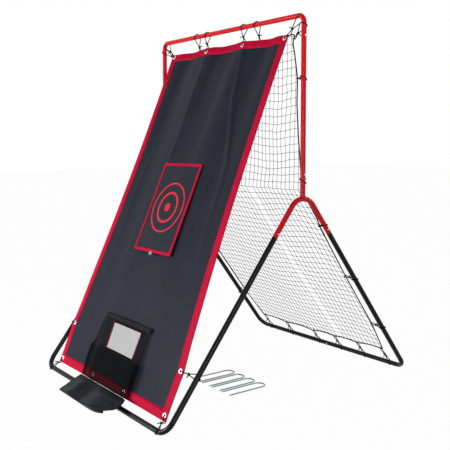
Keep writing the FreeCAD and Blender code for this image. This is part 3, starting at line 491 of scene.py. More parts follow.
# %% Forks
crown_half = math.atan2(half_depth, meet_height - bar_z)
fork_bend = 0.085
crown_z = meet_height - fork_bend * (1 / math.sin(crown_half) - 1)
for side, sign in (("right", 1), ("left", -1)):
    middle = Vector((sign * side_x, post_y, meet_height))
    ends = [middle + front_down * arm_length, middle, middle + leg_down * arm_length]
    arms = mesh_from("arms", *sweep(rounded(ends, fork_bend, tube_step), tube_r, tube_sides))
    crown = Vector((sign * side_x, post_y, crown_z))
    top = Vector((crown.x, crown.y, stub_seam))
    stub = mesh_from("stub", *sweep([crown, top - Z_AXIS * end_ease, top], tube_r, tube_sides,
                                    rings=[tube_r, tube_r, tube_r - end_ease]))
    tube_piece("painted_fork_" + side, boolean(arms, stub, "UNION"), "red_paint", "fork_" + side,
               ("front_leg_" + side, "rear_leg_" + side))
    # The bead follows the saddle where the upright stub meets the crown's round back
    bead = []
    for c, s in circle(48):
        dx, dy = tube_r * c, tube_r * s
        along = fork_bend - math.sqrt(fork_bend ** 2 - dy ** 2)
        bead.append(crown + Vector((dx, dy, math.sqrt(max(tube_r ** 2 - dx ** 2, 0)) - along)))
    shaped("weld_bead_" + side, sweep(bead, 0.0016, 8, closed=True), "frame", "red_paint")
print("two forks, crown at", round(crown_z, 3))

# %% [markdown]
# ## Snap buttons
# Each slip joint is locked by a plated button on a spring inside the tube. Pressing it in frees the joint, so each
# button rides on its own body. A turned profile gives the domed head.

# %% Snap buttons
button_r = 0.004
button_proud = 0.003


def turned(profile, centre, axis, sides=24):
    """A solid turned about an axis from (radius, height) pairs; it starts and ends on the axis."""
    side_way = axis.orthogonal().normalized()
    other = axis.cross(side_way)
    points = [centre + axis * profile[0][1]]
    for r, h in profile[1:-1]:
        points += [centre + axis * h + (side_way * c + other * s) * r for c, s in circle(sides)]
    points.append(centre + axis * profile[-1][1])
    rings = len(profile) - 2
    last = 1 + (rings - 1) * sides
    turns = [(k, (k + 1) % sides) for k in range(sides)]
    faces = [(0, 1 + m, 1 + k) for k, m in turns]
    faces += [(1 + i * sides + k, 1 + i * sides + m, 1 + j * sides + m, 1 + j * sides + k)
              for i, j, k, m in cells(rings, sides)]
    faces += [(last + k, last + m, len(points) - 1) for k, m in turns]
    return points, faces, [(0.0, 0.0)] * sum(len(f) for f in faces)


dome = [(0, -0.0035), (button_r, -0.0035), (button_r, button_proud - 0.0016),
        (button_r * 0.93, button_proud - 0.0009), (button_r * 0.72, button_proud - 0.0003),
        (button_r * 0.4, button_proud), (0, button_proud)]
for name in joints:
    shaped("domed_button_" + name, turned(dome, *button_place(name)), "snap_" + name, "button_steel",
           ["button_" + name], 40)
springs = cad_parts["snap_springs"]
springs.data.materials.clear()
springs.data.materials.append(finishes["spring_steel"])
print("buttons", len(joints))

# %% [markdown]
# ## The sloping target cloth
# The cloth is one sheet, 1 m wide and 1.85 m long, tied at four eyelets along its top, four along its foot and one
# on each side. It hangs in soft folds that start at the top eyelets and fade on the way down. The sheet is a fine
# grid whose lines run exactly along its openings, and a formula lifts each point by the folds there.

# %% Cloth coordinates and folds
hang_top = Vector((0, post_y - 0.003, top_z - 0.0965))
hang_foot = Vector((0, post_y - half_depth + 0.050, bar_z + 0.0495))
slope = (hang_foot - hang_top).normalized()
face_out = Vector((0, slope.z, -slope.y))
drape = (hang_foot - hang_top).length
eyelet_pitch = 0.320
edge_margin = 0.024
half_cloth = 0.0005
half_tape = 0.00135
head_half, waist_half, pull_half, foot_half = 0.503, 0.502, 0.547, 0.540
head_droop = 0.008


def at(x, v, n):
    """x across, v down the slope from the top eyelets, n out of the cloth's face."""
    return hang_top + Vector((x, 0, 0)) + slope * v + face_out * n


# Narrow creases that hang from the top eyelets: height, then where each is and how strong it is down the cloth
long_creases = [(0.0050, (-0.02, 0.30, 0.65, 1.10, 1.50), (0.165, 0.225, 0.345, 0.375, 0.390), (0.5, 1, 1, 0.5, 0)),
                (0.0030, (-0.02, 0.50, 1.00, 1.50), (-0.162, -0.150, -0.160, -0.190), (0.8, 0.9, 0.6, 0)),
                (0.0026, (0.40, 0.80, 1.30, 1.60), (-0.350, -0.390, -0.400, -0.41), (0, 1, 0.8, 0)),
                (0.0022, (0.60, 0.90, 1.40, 1.70), (0.260, 0.240, 0.230, 0.23), (0, 1, 0.8, 0))]


def fold(x, v):
    """How far the cloth stands out: a main fold at each eyelet, and softer ones that lie behind them.

    The folds drift sideways on their way down, because the cloth is slack and not quite square."""
    depth = np.interp(v, [-0.07, 0.7, 1.9], [0.010, 0.004, 0.002])
    drift = 0.022 * math.sin(1.5 * max(v, 0.0)) * math.cos(2.0 * x)
    wave = math.cos(math.pi * (x + drift) / (eyelet_pitch / 2))
    main = -(wave + 0.22 * math.cos(2.7 * (x - 0.1)) - 0.22) * depth / (1.0 + 0.25 * abs(wave))
    fade = math.exp(-max(v, 0.0) / 0.35)
    fine = 0.0014 * fade * (math.sin(47 * x + 2.1 * math.sin(2.3 * v) + 0.7) - 1)
    broad = 0.0016 * (math.sin(8.3 * x + 1.2 * v + 0.5) * math.sin(2.4 * v + 0.3) - 1) * min(1.0, max(v, 0.0) / 0.4)
    slack = 0.0016 * math.exp(-((v - 1.62) / 0.22) ** 2) * (math.sin(9.0 * x + 15.0 * v) - 1)
    creases = sum(height * math.exp(-((x - np.interp(v, down, across)) / 0.017) ** 2) * np.interp(v, down, shares)
                  for height, down, across, shares in long_creases)
    return float(main + fine + broad + slack + creases)


def through(a, b, c, s):
    """The parabola through three (s, value) pairs, read at s."""
    (s0, y0), (s1, y1), (s2, y2) = a, b, c
    return (y0 * (s - s1) * (s - s2) / ((s0 - s1) * (s0 - s2)) +
            y1 * (s - s0) * (s - s2) / ((s1 - s0) * (s1 - s2)) +
            y2 * (s - s0) * (s - s1) / ((s2 - s0) * (s2 - s1)))


cloth_top, cloth_foot = -edge_margin, drape + edge_margin
pull_v = drape - 0.196


def half_width(v):
    """Half the cloth's width: waisted, and pulled out at the side ties."""
    if v < pull_v:
        return through((cloth_top + head_droop, head_half), (drape * 0.42, waist_half), (pull_v, pull_half), v)
    return through((pull_v, pull_half), ((pull_v + cloth_foot) / 2, foot_half), (cloth_foot, foot_half), v)


def top_edge(x):
    """The top hem: slack between the eyelets, with drooping corners."""
    x = abs(x)
    near = eyelet_pitch / 2
    if x < near:
        return cloth_top + through((0, -0.003), (near, 0.0), (-near, 0.0), x)
    return cloth_top + through((near, 0.0), (2 * near, 0.001), (head_half, head_droop), x)


print("cloth runs", round(drape, 3), "m between its eyelet rows")

# %% [markdown]
# A grid line that passes along each edge of an opening lets the faces inside simply be left out, so the openings
# have clean straight sides.

# %% Target cloth
def lines(low, high, step, special=()):
    """Evenly spaced values, with the special ones put in place of their nearest."""
    values = list(np.linspace(low, high, max(2, round((high - low) / step) + 1)))
    for s in special:
        nearest = min(range(1, len(values) - 1), key=lambda i: abs(values[i] - s))
        values[nearest] = s
    return values


def grid(columns, rows, place, kept=lambda x, v: True, uv_of=lambda c, r: (c, r)):
    """Points, faces and UV of a sheet over two lists of lines."""
    points = [place(c, r) for r in rows for c in columns]
    flat = [uv_of(c, r) for r in rows for c in columns]
    faces, uv = [], []
    n = len(columns)
    for j, m, i, k in cells(len(rows), n, round_ring=False):
        if kept((columns[i] + columns[k]) / 2, (rows[j] + rows[m]) / 2):
            faces.append((j * n + i, m * n + i, m * n + k, j * n + k))
            uv += [flat[p] for p in faces[-1]]
    return points, faces, uv


def tidy(mesh):
    """Drop the points that no face uses."""
    work = bmesh.new()
    work.from_mesh(mesh)
    bmesh.ops.delete(work, geom=[v for v in work.verts if not v.link_faces], context="VERTS")
    work.to_mesh(mesh)
    work.free()
    return mesh


def thicken(piece, thickness):
    """Give a sheet its thickness, half to each side."""
    step = piece.modifiers.new("thickness", "SOLIDIFY")
    step.thickness, step.offset, step.use_even_offset = thickness, 0.0, False
    return piece


strike_width, strike_height, strike_top, strike_overlap = 0.342, 0.485, 0.655, 0.026
hole_half = strike_width / 2 - strike_overlap
hole_top, hole_foot = strike_top + strike_overlap, strike_top + strike_height - strike_overlap
window_half, window_top, window_foot = 0.131, 1.526, 1.654
inner_x, inner_top, inner_foot = 0.40, 0.06, 1.76
grid_half, grid_top, grid_foot = 0.5, -0.024, 1.83
under_tape = 0.0014


def cloth_place(c, r):
    """Inside the plain middle a line keeps its value; outside it the lines share out the room to the edge."""
    x, v, low = c, r, cloth_foot - under_tape
    if abs(c) > inner_x:
        far = half_width(min(max(r, cloth_top), low)) - under_tape
        x = math.copysign(inner_x + (abs(c) - inner_x) / (grid_half - inner_x) * (far - inner_x), c)
    if r < inner_top:
        high = top_edge(x) + under_tape
        v = high + (r - grid_top) / (inner_top - grid_top) * (inner_top - high)
    elif r > inner_foot:
        v = inner_foot + (r - inner_foot) / (grid_foot - inner_foot) * (low - inner_foot)
    return x, v


def cloth_kept(x, v):
    in_strike = abs(x) < hole_half and hole_top < v < hole_foot
    in_window = abs(x) < window_half and window_top < v < window_foot
    return not (in_strike or in_window)


columns = lines(-grid_half, grid_half, 0.010,
                (-inner_x, -hole_half, -window_half, window_half, hole_half, inner_x))
rows = lines(grid_top, grid_foot, 0.0125, (inner_top, hole_top, hole_foot, window_top, window_foot, inner_foot))


def cloth_point(c, r):
    x, v = cloth_place(c, r)
    return at(x, v, fold(x, v))


cloth_mesh = tidy(mesh_from("target_cloth", *grid(columns, rows, cloth_point, cloth_kept, cloth_place)))
cloth = thicken(piece_from("target_cloth", cloth_mesh, "frame", "curtain_cloth", ["target_curtain"]),
                2 * half_cloth)
print("cloth faces", len(cloth_mesh.polygons))

# %% [markdown]
# ## Folded tape round the edges
# A red woven tape is folded over every edge and sewn through. Its cut section is a narrow U, so the piece is that
# U carried round the outline at growing distances from the edge.

# %% Folded tape
ring_step = 0.01
tape_thick = 0.0009


def folded_tape(name, ring, level, width, body, slot, nodes, outward=False):
    """Carry a U of tape round a closed outline. ring(d) gives the outline moved in by d."""
    front = [(width, half_tape), (width * 0.66, half_tape), (width * 0.33, half_tape), (0.003, half_tape),
             (0.0012, half_tape * 0.85)]
    profile = front + [(0.0006, 0.0)] + [(d, -n) for d, n in front[::-1]]
    points = []
    for d, n in profile:
        loop = ring(d)
        points += [at(x, v, level(x, v) + n) for x, v in loop]
    count = len(loop)
    faces, uv = [], []
    order = -1 if outward else 1
    for j, m, i, k in cells(len(profile), count):
        faces.append((j * count + i, m * count + i, m * count + k, j * count + k)[::order])
        run, near, far = i * ring_step, profile[j][0], profile[m][0]
        uv += [(run, near), (run, far), (run + ring_step, far), (run + ring_step, near)][::order]
    return thicken(shaped(name, (points, faces, uv), body, slot, nodes), tape_thick)


def hem_ring(d, across=100, down=184):
    """The cloth's outline moved in by d: top, right side, foot, left side."""
    loop = []
    low = cloth_foot - d
    for side in ("top", "right", "foot", "left"):
        steps = across if side in ("top", "foot") else down
        for i in range(steps):
            t = i / steps
            t = t if side in ("top", "right") else 1 - t
            if side in ("top", "foot"):
                v = cloth_top + head_droop + d if side == "top" else low
                half = half_width(v) - d
                x = -half + 2 * half * t
                loop.append((x, top_edge(x) + d if side == "top" else low))
            else:
                half = half_width(cloth_top + head_droop) - d
                v = top_edge(half) + d + (low - top_edge(half) - d) * t
                loop.append(((half_width(v) - d) * (1 if side == "right" else -1), v))
    return loop


def rectangle_ring(half, top, foot, sign):
    """A rectangle moved in (sign 1) or out (sign -1) by d."""
    def ring(d):
        x, low, high = half - sign * d, top + sign * d, foot - sign * d
        ends = [(-x, low), (x, low), (x, high), (-x, high)]
        loop = []
        for a, b in zip(ends, ends[1:] + ends[:1]):
            steps = max(2, round((2 * half if a[1] == b[1] else foot - top) / ring_step))
            loop += [(a[0] + (b[0] - a[0]) * i / steps, a[1] + (b[1] - a[1]) * i / steps) for i in range(steps)]
        return loop
    return ring


folded_tape("hem_tape", hem_ring, fold, 0.045, "frame", "red_binding", ["curtain_binding"])
window_ring = rectangle_ring(window_half, window_top, window_foot, -1)
window_tape = folded_tape("window_tape", window_ring, fold, 0.010, "frame", "red_binding", ["window_binding"], True)
# Only its two sides are red: black tape runs along its top and its foot
window_tape.data.materials.append(finishes["black_tape"])
for face in window_tape.data.polygons:
    face.material_index = int(not window_top < (face.center - hang_top).dot(slope) < window_foot)
print("hem and window tape folded on")

# %% [markdown]
# ## The strike flap
# A bound panel hangs by its top edge over the strike opening and gives way when a ball hits it. It bows out a
# little, so it is its own curved sheet. The printed rings are a plain bullseye, drawn in the material from the
# distance to the panel's middle.

# %% Strike flap
strike_foot = strike_top + strike_height
strike_middle = (strike_top + strike_foot) / 2
strike_seat = 0.00705


def strike_level(x, v):
    """The panel's middle layer: seated on the folds at its top, further out at its foot, bowed in the middle."""
    down = (v - strike_top) / strike_height
    crown = 0.004 * (1 - (2 * down - 1) ** 2 * 0.6) * max(0.0, 1 - (x / 0.188) ** 2)
    soft = 0.0012 * math.sin(math.pi * down) * (math.sin(23 * x + 9 * v) - 1) * (1 - abs(x) / 0.19)
    return strike_seat + 0.007 * down * down + crown + soft


def bullseye(*look):
    """Cloth with the rings printed on it."""
    material, tree, shader, shaded_colour = woven(*look)
    centred = add(tree, "ShaderNodeVectorMath", {"operation": "SUBTRACT"},
                  {0: add(tree, "ShaderNodeTexCoord").outputs["UV"], 1: (0.0, strike_middle, 0.0)})
    away = add(tree, "ShaderNodeVectorMath", {"operation": "LENGTH"}, {0: centred.outputs[0]}).outputs["Value"]
    ink, fade = 0.0, 0.0005
    # (middle radius, half width) of the two rings and the spot; the edge fades over 1 mm
    for radius, half in ((0.130, 0.0045), (0.078, 0.0065), (0.0, 0.023)):
        off = maths(tree, "ABSOLUTE", maths(tree, "SUBTRACT", away, radius))
        ink = maths(tree, "MAXIMUM", ink, ranged(tree, off, From_Min=half - fade, From_Max=half + fade,
                                                 To_Min=1.0, To_Max=0.0))
    inked = add(tree, "ShaderNodeMix", {"data_type": "RGBA"}, {0: ink, 6: shaded_colour, 7: linear("D01F40")})
    tree.links.new(inked.outputs[2], shader.inputs["Base Color"])
    return material


finishes["panel_cloth"] = bullseye("printed_oxford_polyester", "0F121B", "191E2A", 0.003, 0.5, 0.04, False, 0.1)
panel_inset = 0.0014
panel_half = strike_width / 2 - panel_inset
panel_mesh = mesh_from("strike_panel_cloth", *grid(
    lines(-panel_half, panel_half, 0.0085), lines(strike_top + panel_inset, strike_foot - panel_inset, 0.0085),
    lambda x, v: at(x, v, strike_level(x, v))))
panel = thicken(piece_from("strike_panel_cloth", panel_mesh, "strike_flap", "panel_cloth", ["strike_panel"]),
                2 * half_cloth)
# The print is on the front only
panel_mesh.materials.append(finishes["curtain_cloth"])
panel.modifiers["thickness"].material_offset = 1
strike_ring = rectangle_ring(strike_width / 2, strike_top, strike_foot, 1)
folded_tape("strike_tape", strike_ring, strike_level, 0.016, "strike_flap", "red_binding", ["strike_binding"])
tab_half, tab_top, tab_foot, tab_stand = 0.012, strike_foot - 0.004, strike_foot + 0.012, 0.0027
tab = grid(lines(-tab_half, tab_half, 0.003), lines(tab_top, tab_foot, 0.002),
           lambda x, v: at(x, v, strike_level(x, v) + tab_stand))
thicken(shaped("pull_tab_tape", tab, "strike_flap", "tab_webbing", ["strike_tab"]), 0.0011)
print("strike panel", strike_width, "by", strike_height)

# %% [markdown]
# ## Trees that set out and thread small parts
# Eyelets, stitches and net knots repeat by the hundred, so Geometry Nodes set them out. Each tree takes a plain
# mesh of points or edges, has named inputs for its sizes, and ends in real geometry with a material. Its result
# is copied to a plain mesh, because only plain meshes ride on bodies.

# %% Helpers for geometry trees
def new_tree(name, inputs):
    """An empty geometry tree with its named inputs."""
    tree = bpy.data.node_groups.new(name, "GeometryNodeTree")
    tree.interface.new_socket("Geometry", in_out="INPUT", socket_type="NodeSocketGeometry")
    for label, kind, value in inputs:
        socket = tree.interface.new_socket(label, in_out="INPUT", socket_type="NodeSocket" + kind)
        if value is not None:
            socket.default_value = value
    tree.interface.new_socket("Geometry", in_out="OUTPUT", socket_type="NodeSocketGeometry")
    return tree, add(tree, "NodeGroupInput").outputs


def close_tree(tree, geometry, material):
    """Every tree ends the same way: real geometry, then its material."""
    real = add(tree, "GeometryNodeRealizeInstances", links={"Geometry": geometry})
    painted = add(tree, "GeometryNodeSetMaterial", links={"Geometry": real.outputs[0], "Material": material})
    add(tree, "NodeGroupOutput", links={"Geometry": painted.outputs[0]})


def run_tree(tree, mesh, **values):
    """Evaluate a tree on a mesh and return the plain mesh that it makes."""
    carrier = placed("carrier", mesh)
    step = carrier.modifiers.new("tree", "NODES")
    step.node_group = tree
    for item in tree.interface.items_tree:
        name = item.name.replace(" ", "_")
        if item.in_out == "INPUT" and name in values:
            step[item.identifier] = values[name]
    made = bpy.data.meshes.new_from_object(carrier.evaluated_get(bpy.context.evaluated_depsgraph_get()))
    bpy.data.objects.remove(carrier)
    return made


def with_attributes(name, points, edges=(), **columns):
    """A mesh of points and edges that carries a value or a vector at each point."""
    mesh = bpy.data.meshes.new(name)
    mesh.from_pydata([tuple(p) for p in points], list(edges), [])
    for label, values in columns.items():
        is_vector = hasattr(values[0], "__len__")
        layer = mesh.attributes.new(label, "FLOAT_VECTOR" if is_vector else "FLOAT", "POINT")
        layer.data.foreach_set("vector" if is_vector else "value", np.asarray(values, np.float32).ravel())
    return mesh


def named(tree, label, kind="FLOAT_VECTOR"):
    return add(tree, "GeometryNodeInputNamedAttribute", {"data_type": kind}, {"Name": label}).outputs[0]


# Sets one part at each point: its Z turned to the point's facing, then its X to the point's way
set_out_tree, inputs = new_tree("set_out_parts", [("Part", "Object", None), ("Size", "Float", 1.0),
                                                  ("Material", "Material", None)])
part = add(set_out_tree, "GeometryNodeObjectInfo", links={"Object": inputs["Part"]})
upright = add(set_out_tree, "FunctionNodeAlignRotationToVector", {"axis": "Z"},
              {"Vector": named(set_out_tree, "facing")})
swung = add(set_out_tree, "FunctionNodeAlignRotationToVector", {"axis": "X", "pivot_axis": "Z"},
            {"Rotation": upright.outputs[0], "Vector": named(set_out_tree, "way")})
spots = add(set_out_tree, "GeometryNodeMeshToPoints", links={"Mesh": inputs["Geometry"]})
parts = add(set_out_tree, "GeometryNodeInstanceOnPoints",
            links={"Points": spots.outputs[0], "Instance": part.outputs["Geometry"],
                   "Rotation": swung.outputs[0], "Scale": inputs["Size"]})
close_tree(set_out_tree, parts.outputs[0], inputs["Material"])


def set_out(name, part_mesh, places, facings, ways, slot):
    """One mesh with the part at every place."""
    part = placed("part", part_mesh)
    made = run_tree(set_out_tree, with_attributes("places", places, facing=facings, way=ways),
                    Part=part, Size=1.0, Material=finishes[slot])
    bpy.data.objects.remove(part)
    made.name = name
    return made


print("tree ready:", set_out_tree.name)

# %% [markdown]
# ## Eyelets
# The eyelets are two-part pressed rings of plated brass: a rolled flange on each face and a barrel through the
# hem. One ring is turned from its cut section, and the tree sets it out at the ten places.

# %% Eyelets
eye_r, flange_r = 0.006, 0.012
face_n = half_tape + 0.00055 + 0.00045


def ring_part(profile, sides):
    """A ring turned about Z from a closed (radius, height) section."""
    count = len(profile)
    points = [(r * c, r * s, h) for c, s in circle(sides) for r, h in profile]
    faces, uv = [], []
    for k, m, i, j in cells(sides, count, closed=True):
        faces.append((k * count + i, m * count + i, m * count + j, k * count + j))
        uv += [(k / sides, i / count)] * 4
    return mesh_from("ring_part", points, faces, uv)


outer_face = [(eye_r, 0), (eye_r, face_n), (eye_r + 0.0010, face_n + 0.0007), (eye_r + 0.0030, face_n + 0.0010),
              (flange_r - 0.0012, face_n + 0.0006), (flange_r, face_n - 0.0001),
              (flange_r - 0.0004, face_n - 0.0004), (eye_r + 0.0012, face_n - 0.0001)]
section = outer_face + [(r, -h) for r, h in outer_face[::-1][:-1]]
eyelet_part = ring_part(section, 32)
half = eyelet_pitch / 2
corner_x, pull_x = foot_half - edge_margin, pull_half - edge_margin
eyelet_rows = {"top": [(-3 * half, 0), (-half, 0), (half, 0), (3 * half, 0)],
               "foot": [(-corner_x, drape), (-half, drape), (half, drape), (corner_x, drape)],
               "side": [(-pull_x, pull_v), (pull_x, pull_v)]}
eyelet_places = [p for row in eyelet_rows.values() for p in row]


def cloth_out(x, v):
    """Square out of the folded cloth."""
    rise = (fold(x + 0.002, v) - fold(x - 0.002, v)) / 0.004
    return (face_out - X_AXIS * rise).normalized()


eyelet_mesh = set_out("pressed_eyelets", eyelet_part, [at(x, v, fold(x, v)) for x, v in eyelet_places],
                      [cloth_out(x, v) for x, v in eyelet_places], [X_AXIS] * len(eyelet_places), "eyelet_steel")
piece_from("pressed_eyelets", eyelet_mesh, "frame", "eyelet_steel", ["eyelets"], 50)
print("eyelets", len(eyelet_places))

# %% [markdown]
# ## Stitches
# The tape is lock-stitched along both its edges. Each stitch shows as a small raised bead of thread. The tree sets
# them out every 7 mm, which is a little coarser than the real seam.

# %% Stitches
thread_r, thread_end = 0.0004, 0.0001
seam_height = half_tape + 0.00055


def stitch_part():
    """A low bead of thread, 4 mm long."""
    bead = [(-0.0020, 0, 0), (-0.0012, 0, 0.0003), (0.0012, 0, 0.0003), (0.0020, 0, 0)]
    return mesh_from("stitch_part", *sweep(bead, thread_r, 5, rings=[thread_end, thread_r, thread_r, thread_end]))


def seam_places(loop, level, height, spacing):
    """Even places along a closed (x, v) loop on the tape's face, with the way the seam runs there."""
    points = [at(x, v, level(x, v) + height) for x, v in loop]
    places, ways, left = [], [], 0.0
    for a, b in zip(points, points[1:] + points[:1]):
        run = (b - a).length
        while left < run:
            places.append(a + (b - a) * (left / run))
            ways.append((b - a).normalized())
            left += spacing
        left -= run
    return places, ways


def stitch_rows(name, rows, level, body, spacing=0.007):
    """Stitches along some loops, as one piece; the number of them."""
    places, ways = [], []
    for loop in rows:
        p, w = seam_places(loop, level, seam_height, spacing)
        places, ways = places + p, ways + w
    mesh = set_out(name, stitch_part(), places, [face_out] * len(places), ways, "red_binding")
    piece_from(name, mesh, body, "red_binding")
    return len(places)


stitches = stitch_rows("hem_stitches", [hem_ring(0.004), hem_ring(0.041)], fold, "frame")
stitches += stitch_rows("window_stitches", [window_ring(0.007)], fold, "frame")
stitches += stitch_rows("strike_stitches", [strike_ring(0.013)], strike_level, "strike_flap")
print("stitches", stitches)

# %% [markdown]
# ## Mesh sleeve over the exit window
# A cover of fine knitted mesh is sewn over the window and stands off the cloth, so that balls roll down inside it.
# Its surface is a grid with square corners. The tree shrinks a hole into every face of that grid, which leaves the
# knitted bars. Mesh of this kind has holes of about 2 mm; here they are 4.5 mm apart, the finest that the piece can
# carry. The knit is open over the window and denser below it, where the photograph shows it darker. Whether the
# real one changes there is a guess. An attribute of each face says which it is.

# %% Mesh sleeve
sleeve_half, sleeve_top = 0.223, 1.490
sleeve_bow = 0.006
sleeve_end = Vector((0, post_y - half_depth + tube_r + 0.0035, bar_z + 0.0455))
end_n = (sleeve_end - hang_top).dot(face_out)
end_v = (sleeve_end - hang_top).dot(slope)
sleeve_seat = 0.0044
sleeve_foot = end_n - sleeve_seat - sleeve_bow / 2
sleeve_curve = [(0.0, 0.002), (0.3, 0.012), (0.46, 0.018), (0.53, 0.031), (0.72, 0.031), (1.0, sleeve_foot)]


def smooth_between(table, s):
    """Read a table of (s, value) along smooth curves that don't overshoot."""
    for (a, low), (b, high) in zip(table, table[1:]):
        if s <= b:
            t = (s - a) / (b - a)
            ease = t * t * (3 - 2 * t) * 0.45 + t * 0.55
            return low + (high - low) * ease
    return table[-1][1]


side_share, side_lean = 0.2, 0.0008


def sleeve_point(c, r):
    """c is -1 to 1 across the front, with up to side_share more at each side for the side walls."""
    depth = smooth_between(sleeve_curve, r)
    v = sleeve_top + (end_v - sleeve_top) * r
    if abs(c) > 1:
        up = 1 - (abs(c) - 1) / side_share
        return at(math.copysign(sleeve_half - side_lean * up, c), v, sleeve_seat + depth * up)
    x = c * (sleeve_half - side_lean)
    pucker = 0.0016 * math.sin(math.pi * r) * (math.sin(11 * c + 7 * r) - 1) * (1 - c * c)
    return at(x, v, sleeve_seat + depth + sleeve_bow * (1 - abs(c) ** 2.5) * min(1.0, depth / 0.01) + pucker)


open_hole, dense_hole = 0.75, 0.52
knit_tree, inputs = new_tree("knitted_mesh", [("Open Hole", "Float", open_hole),
                                              ("Dense Hole", "Float", dense_hole),
                                              ("Material", "Material", None)])
hole = add(knit_tree, "ShaderNodeMix", {"data_type": "FLOAT"}, {0: named(knit_tree, "dense", "FLOAT"),
                                                              2: inputs["Open Hole"], 3: inputs["Dense Hole"]})
bars = add(knit_tree, "GeometryNodeExtrudeMesh", {"mode": "FACES"},
           {"Mesh": inputs["Geometry"], "Offset Scale": 0.0, "Individual": True})
shrunk = add(knit_tree, "GeometryNodeScaleElements", links={"Geometry": bars.outputs["Mesh"],
                                                           "Selection": bars.outputs["Top"],
                                                           "Scale": hole.outputs[0]})
open_mesh = add(knit_tree, "GeometryNodeDeleteGeometry", {"domain": "FACE"},
                {"Geometry": shrunk.outputs[0], "Selection": bars.outputs["Top"]})
close_tree(knit_tree, open_mesh.outputs[0], inputs["Material"])

knit_across, knit_side, knit_down = 100, 6, 75
across = ([-1 - side_share + side_share * i / knit_side for i in range(knit_side)] +
          list(np.linspace(-1, 1, knit_across)) +
          [1 + side_share * (i + 1) / knit_side for i in range(knit_side)])
sleeve_base = mesh_from("sleeve_base", *grid(across, list(np.linspace(0, 1, knit_down)), sleeve_point,
                                             uv_of=lambda c, r: (c * sleeve_half, r * (end_v - sleeve_top))))
dense_from = window_foot + 0.012
dense = [float((f.center - hang_top).dot(slope) > dense_from) for f in sleeve_base.polygons]
sleeve_base.attributes.new("dense", "FLOAT", "FACE").data.foreach_set("value", dense)
sleeve_mesh = run_tree(knit_tree, sleeve_base, Open_Hole=open_hole, Dense_Hole=dense_hole,
                       Material=finishes["black_mesh"])
sleeve = piece_from("knitted_sleeve", sleeve_mesh, "frame", "black_mesh", ["mesh_sleeve"])

# %% [markdown]
# A band of black tape covers the sleeve's sewn top edge and follows the step where the sleeve leaves the cloth.

# %% Sleeve tape
tape_w, tape_half = 0.020, 0.222


def top_band_place(x, v):
    share = min(max((v - sleeve_top) / (end_v - sleeve_top), 0.0), 1.0)
    lift = smooth_between(sleeve_curve, share) * (1 if v >= sleeve_top else 0)
    bow = sleeve_bow * (1 - abs(x / sleeve_half) ** 2.5) * min(1.0, lift / 0.01)
    return at(x, v, max(sleeve_seat + lift, fold(x, v) + 0.0012) + 0.0008 + bow)


band = grid(lines(-tape_half, tape_half, 0.012), lines(sleeve_top - 0.002, sleeve_top + tape_w, 0.003),
            top_band_place)
thicken(shaped("sleeve_top_tape", band, "frame", "black_mesh", finish="black_tape"), tape_thick)
print("sleeve tape on")

# %% [markdown]
# ## The flap at the foot
# A flap of thin coated cloth is sewn to the sleeve's lower edge, lies over the front bar and reaches the ground.
# Its free edges are piped. It has soft lengthwise billows, which are read from a short table of heights, and its
# right side swells outwards and ends a little short, where the cloth is slack.

# %% Chute flap
sleeve_lip = at(0, end_v, end_n + sleeve_bow / 2)
flap_head = sleeve_lip - Vector((0, 0.0004, 0.0005))
flap_foot = Vector((0, post_y - half_depth - 0.107, 0.0022))
flap_run = flap_foot - flap_head
flap_up = Vector((0, flap_run.z, -flap_run.y)).normalized()
flap_width = 0.434
flap_swell = 0.060
billows = [(-0.5, 0.002), (-0.27, 0.017), (-0.02, 0.002), (0.27, 0.022), (0.5, 0.012)]
flap_thick = 0.0012


def flap_point(c, r):
    """c is -0.5 to 0.5 across, r is 0 at the sewn edge and 1 at the free one."""
    bulge = smooth_between(billows, c)
    shape = math.sin(math.pi * min(r / 0.84, 1 - (r - 0.42) / 1.16)) if 0 < r < 1 else 0.0
    ripple = 0.0008 * math.sin(math.pi * r) * math.sin(31 * c + 5 * r)
    side = max(0.0, (c - 0.1) / 0.4) ** 2
    swell = flap_swell * side * math.sin(math.pi * min(1.0, 0.9 * r + 0.12 * (r > 0)))
    r *= 1 - 0.16 * side ** 2
    return (flap_head + X_AXIS * (c * flap_width + swell) + flap_run * r +
            flap_up * (bulge * max(shape, 0.0) + ripple * min(1.0, bulge / 0.004) - flap_thick / 2))


flap_grid = grid(list(np.linspace(-0.5, 0.5, 70)), list(np.linspace(0, 1, 28)), flap_point,
                 uv_of=lambda c, r: (c * flap_width, r * flap_run.length))
flap = thicken(shaped("chute_flap_cloth", flap_grid, "chute", "flap_cloth", ["chute_flap"]), 0.0010)
edge_c, edge_r, edge_start = 0.497, 0.985, 0.02
edge = ([flap_point(-edge_c, r) for r in np.linspace(edge_start, edge_r, 24)] +
        [flap_point(c, edge_r) for c in np.linspace(-edge_c, edge_c, 50)][1:] +
        [flap_point(edge_c, r) for r in np.linspace(edge_r, edge_start, 24)][1:])
shaped("flap_piping", sweep(edge, 0.0016, 8), "chute", "flap_cloth", finish="black_tape")
print("flap", flap_width, "by", round(flap_run.length, 3))

# %% [markdown]
# ## The net's edge rope
# One braided rope runs all round the net. The ties pull it out at their places, and it hangs slack between them,
# most of all along the foot, where it makes low scallops.

# %% Net outline and edge rope
net_top_z, net_top_back = 1.724, 0.022
net_corner = (0.522, 1.742)
upper_edge = [(0.504, 1.706), (0.520, 1.640), (0.541, 1.531), (0.540, 1.416), (0.553, 1.260), (0.572, 1.110),
              (0.581, 1.053)]
lower_edge = [(0.576, 0.204), (0.565, 0.247), (0.551, 0.457), (0.544, 0.591), (0.538, 0.800), (0.536, 0.943)]
fold_node = (0.583, 0.020)
foot_nodes = [(-0.505, 1.160), (-0.290, 1.172), (-0.048, 1.175), (0.132, 1.170), (0.312, 1.169), (0.505, 1.156)]
scallop = 0.013
rope_r = 0.0022
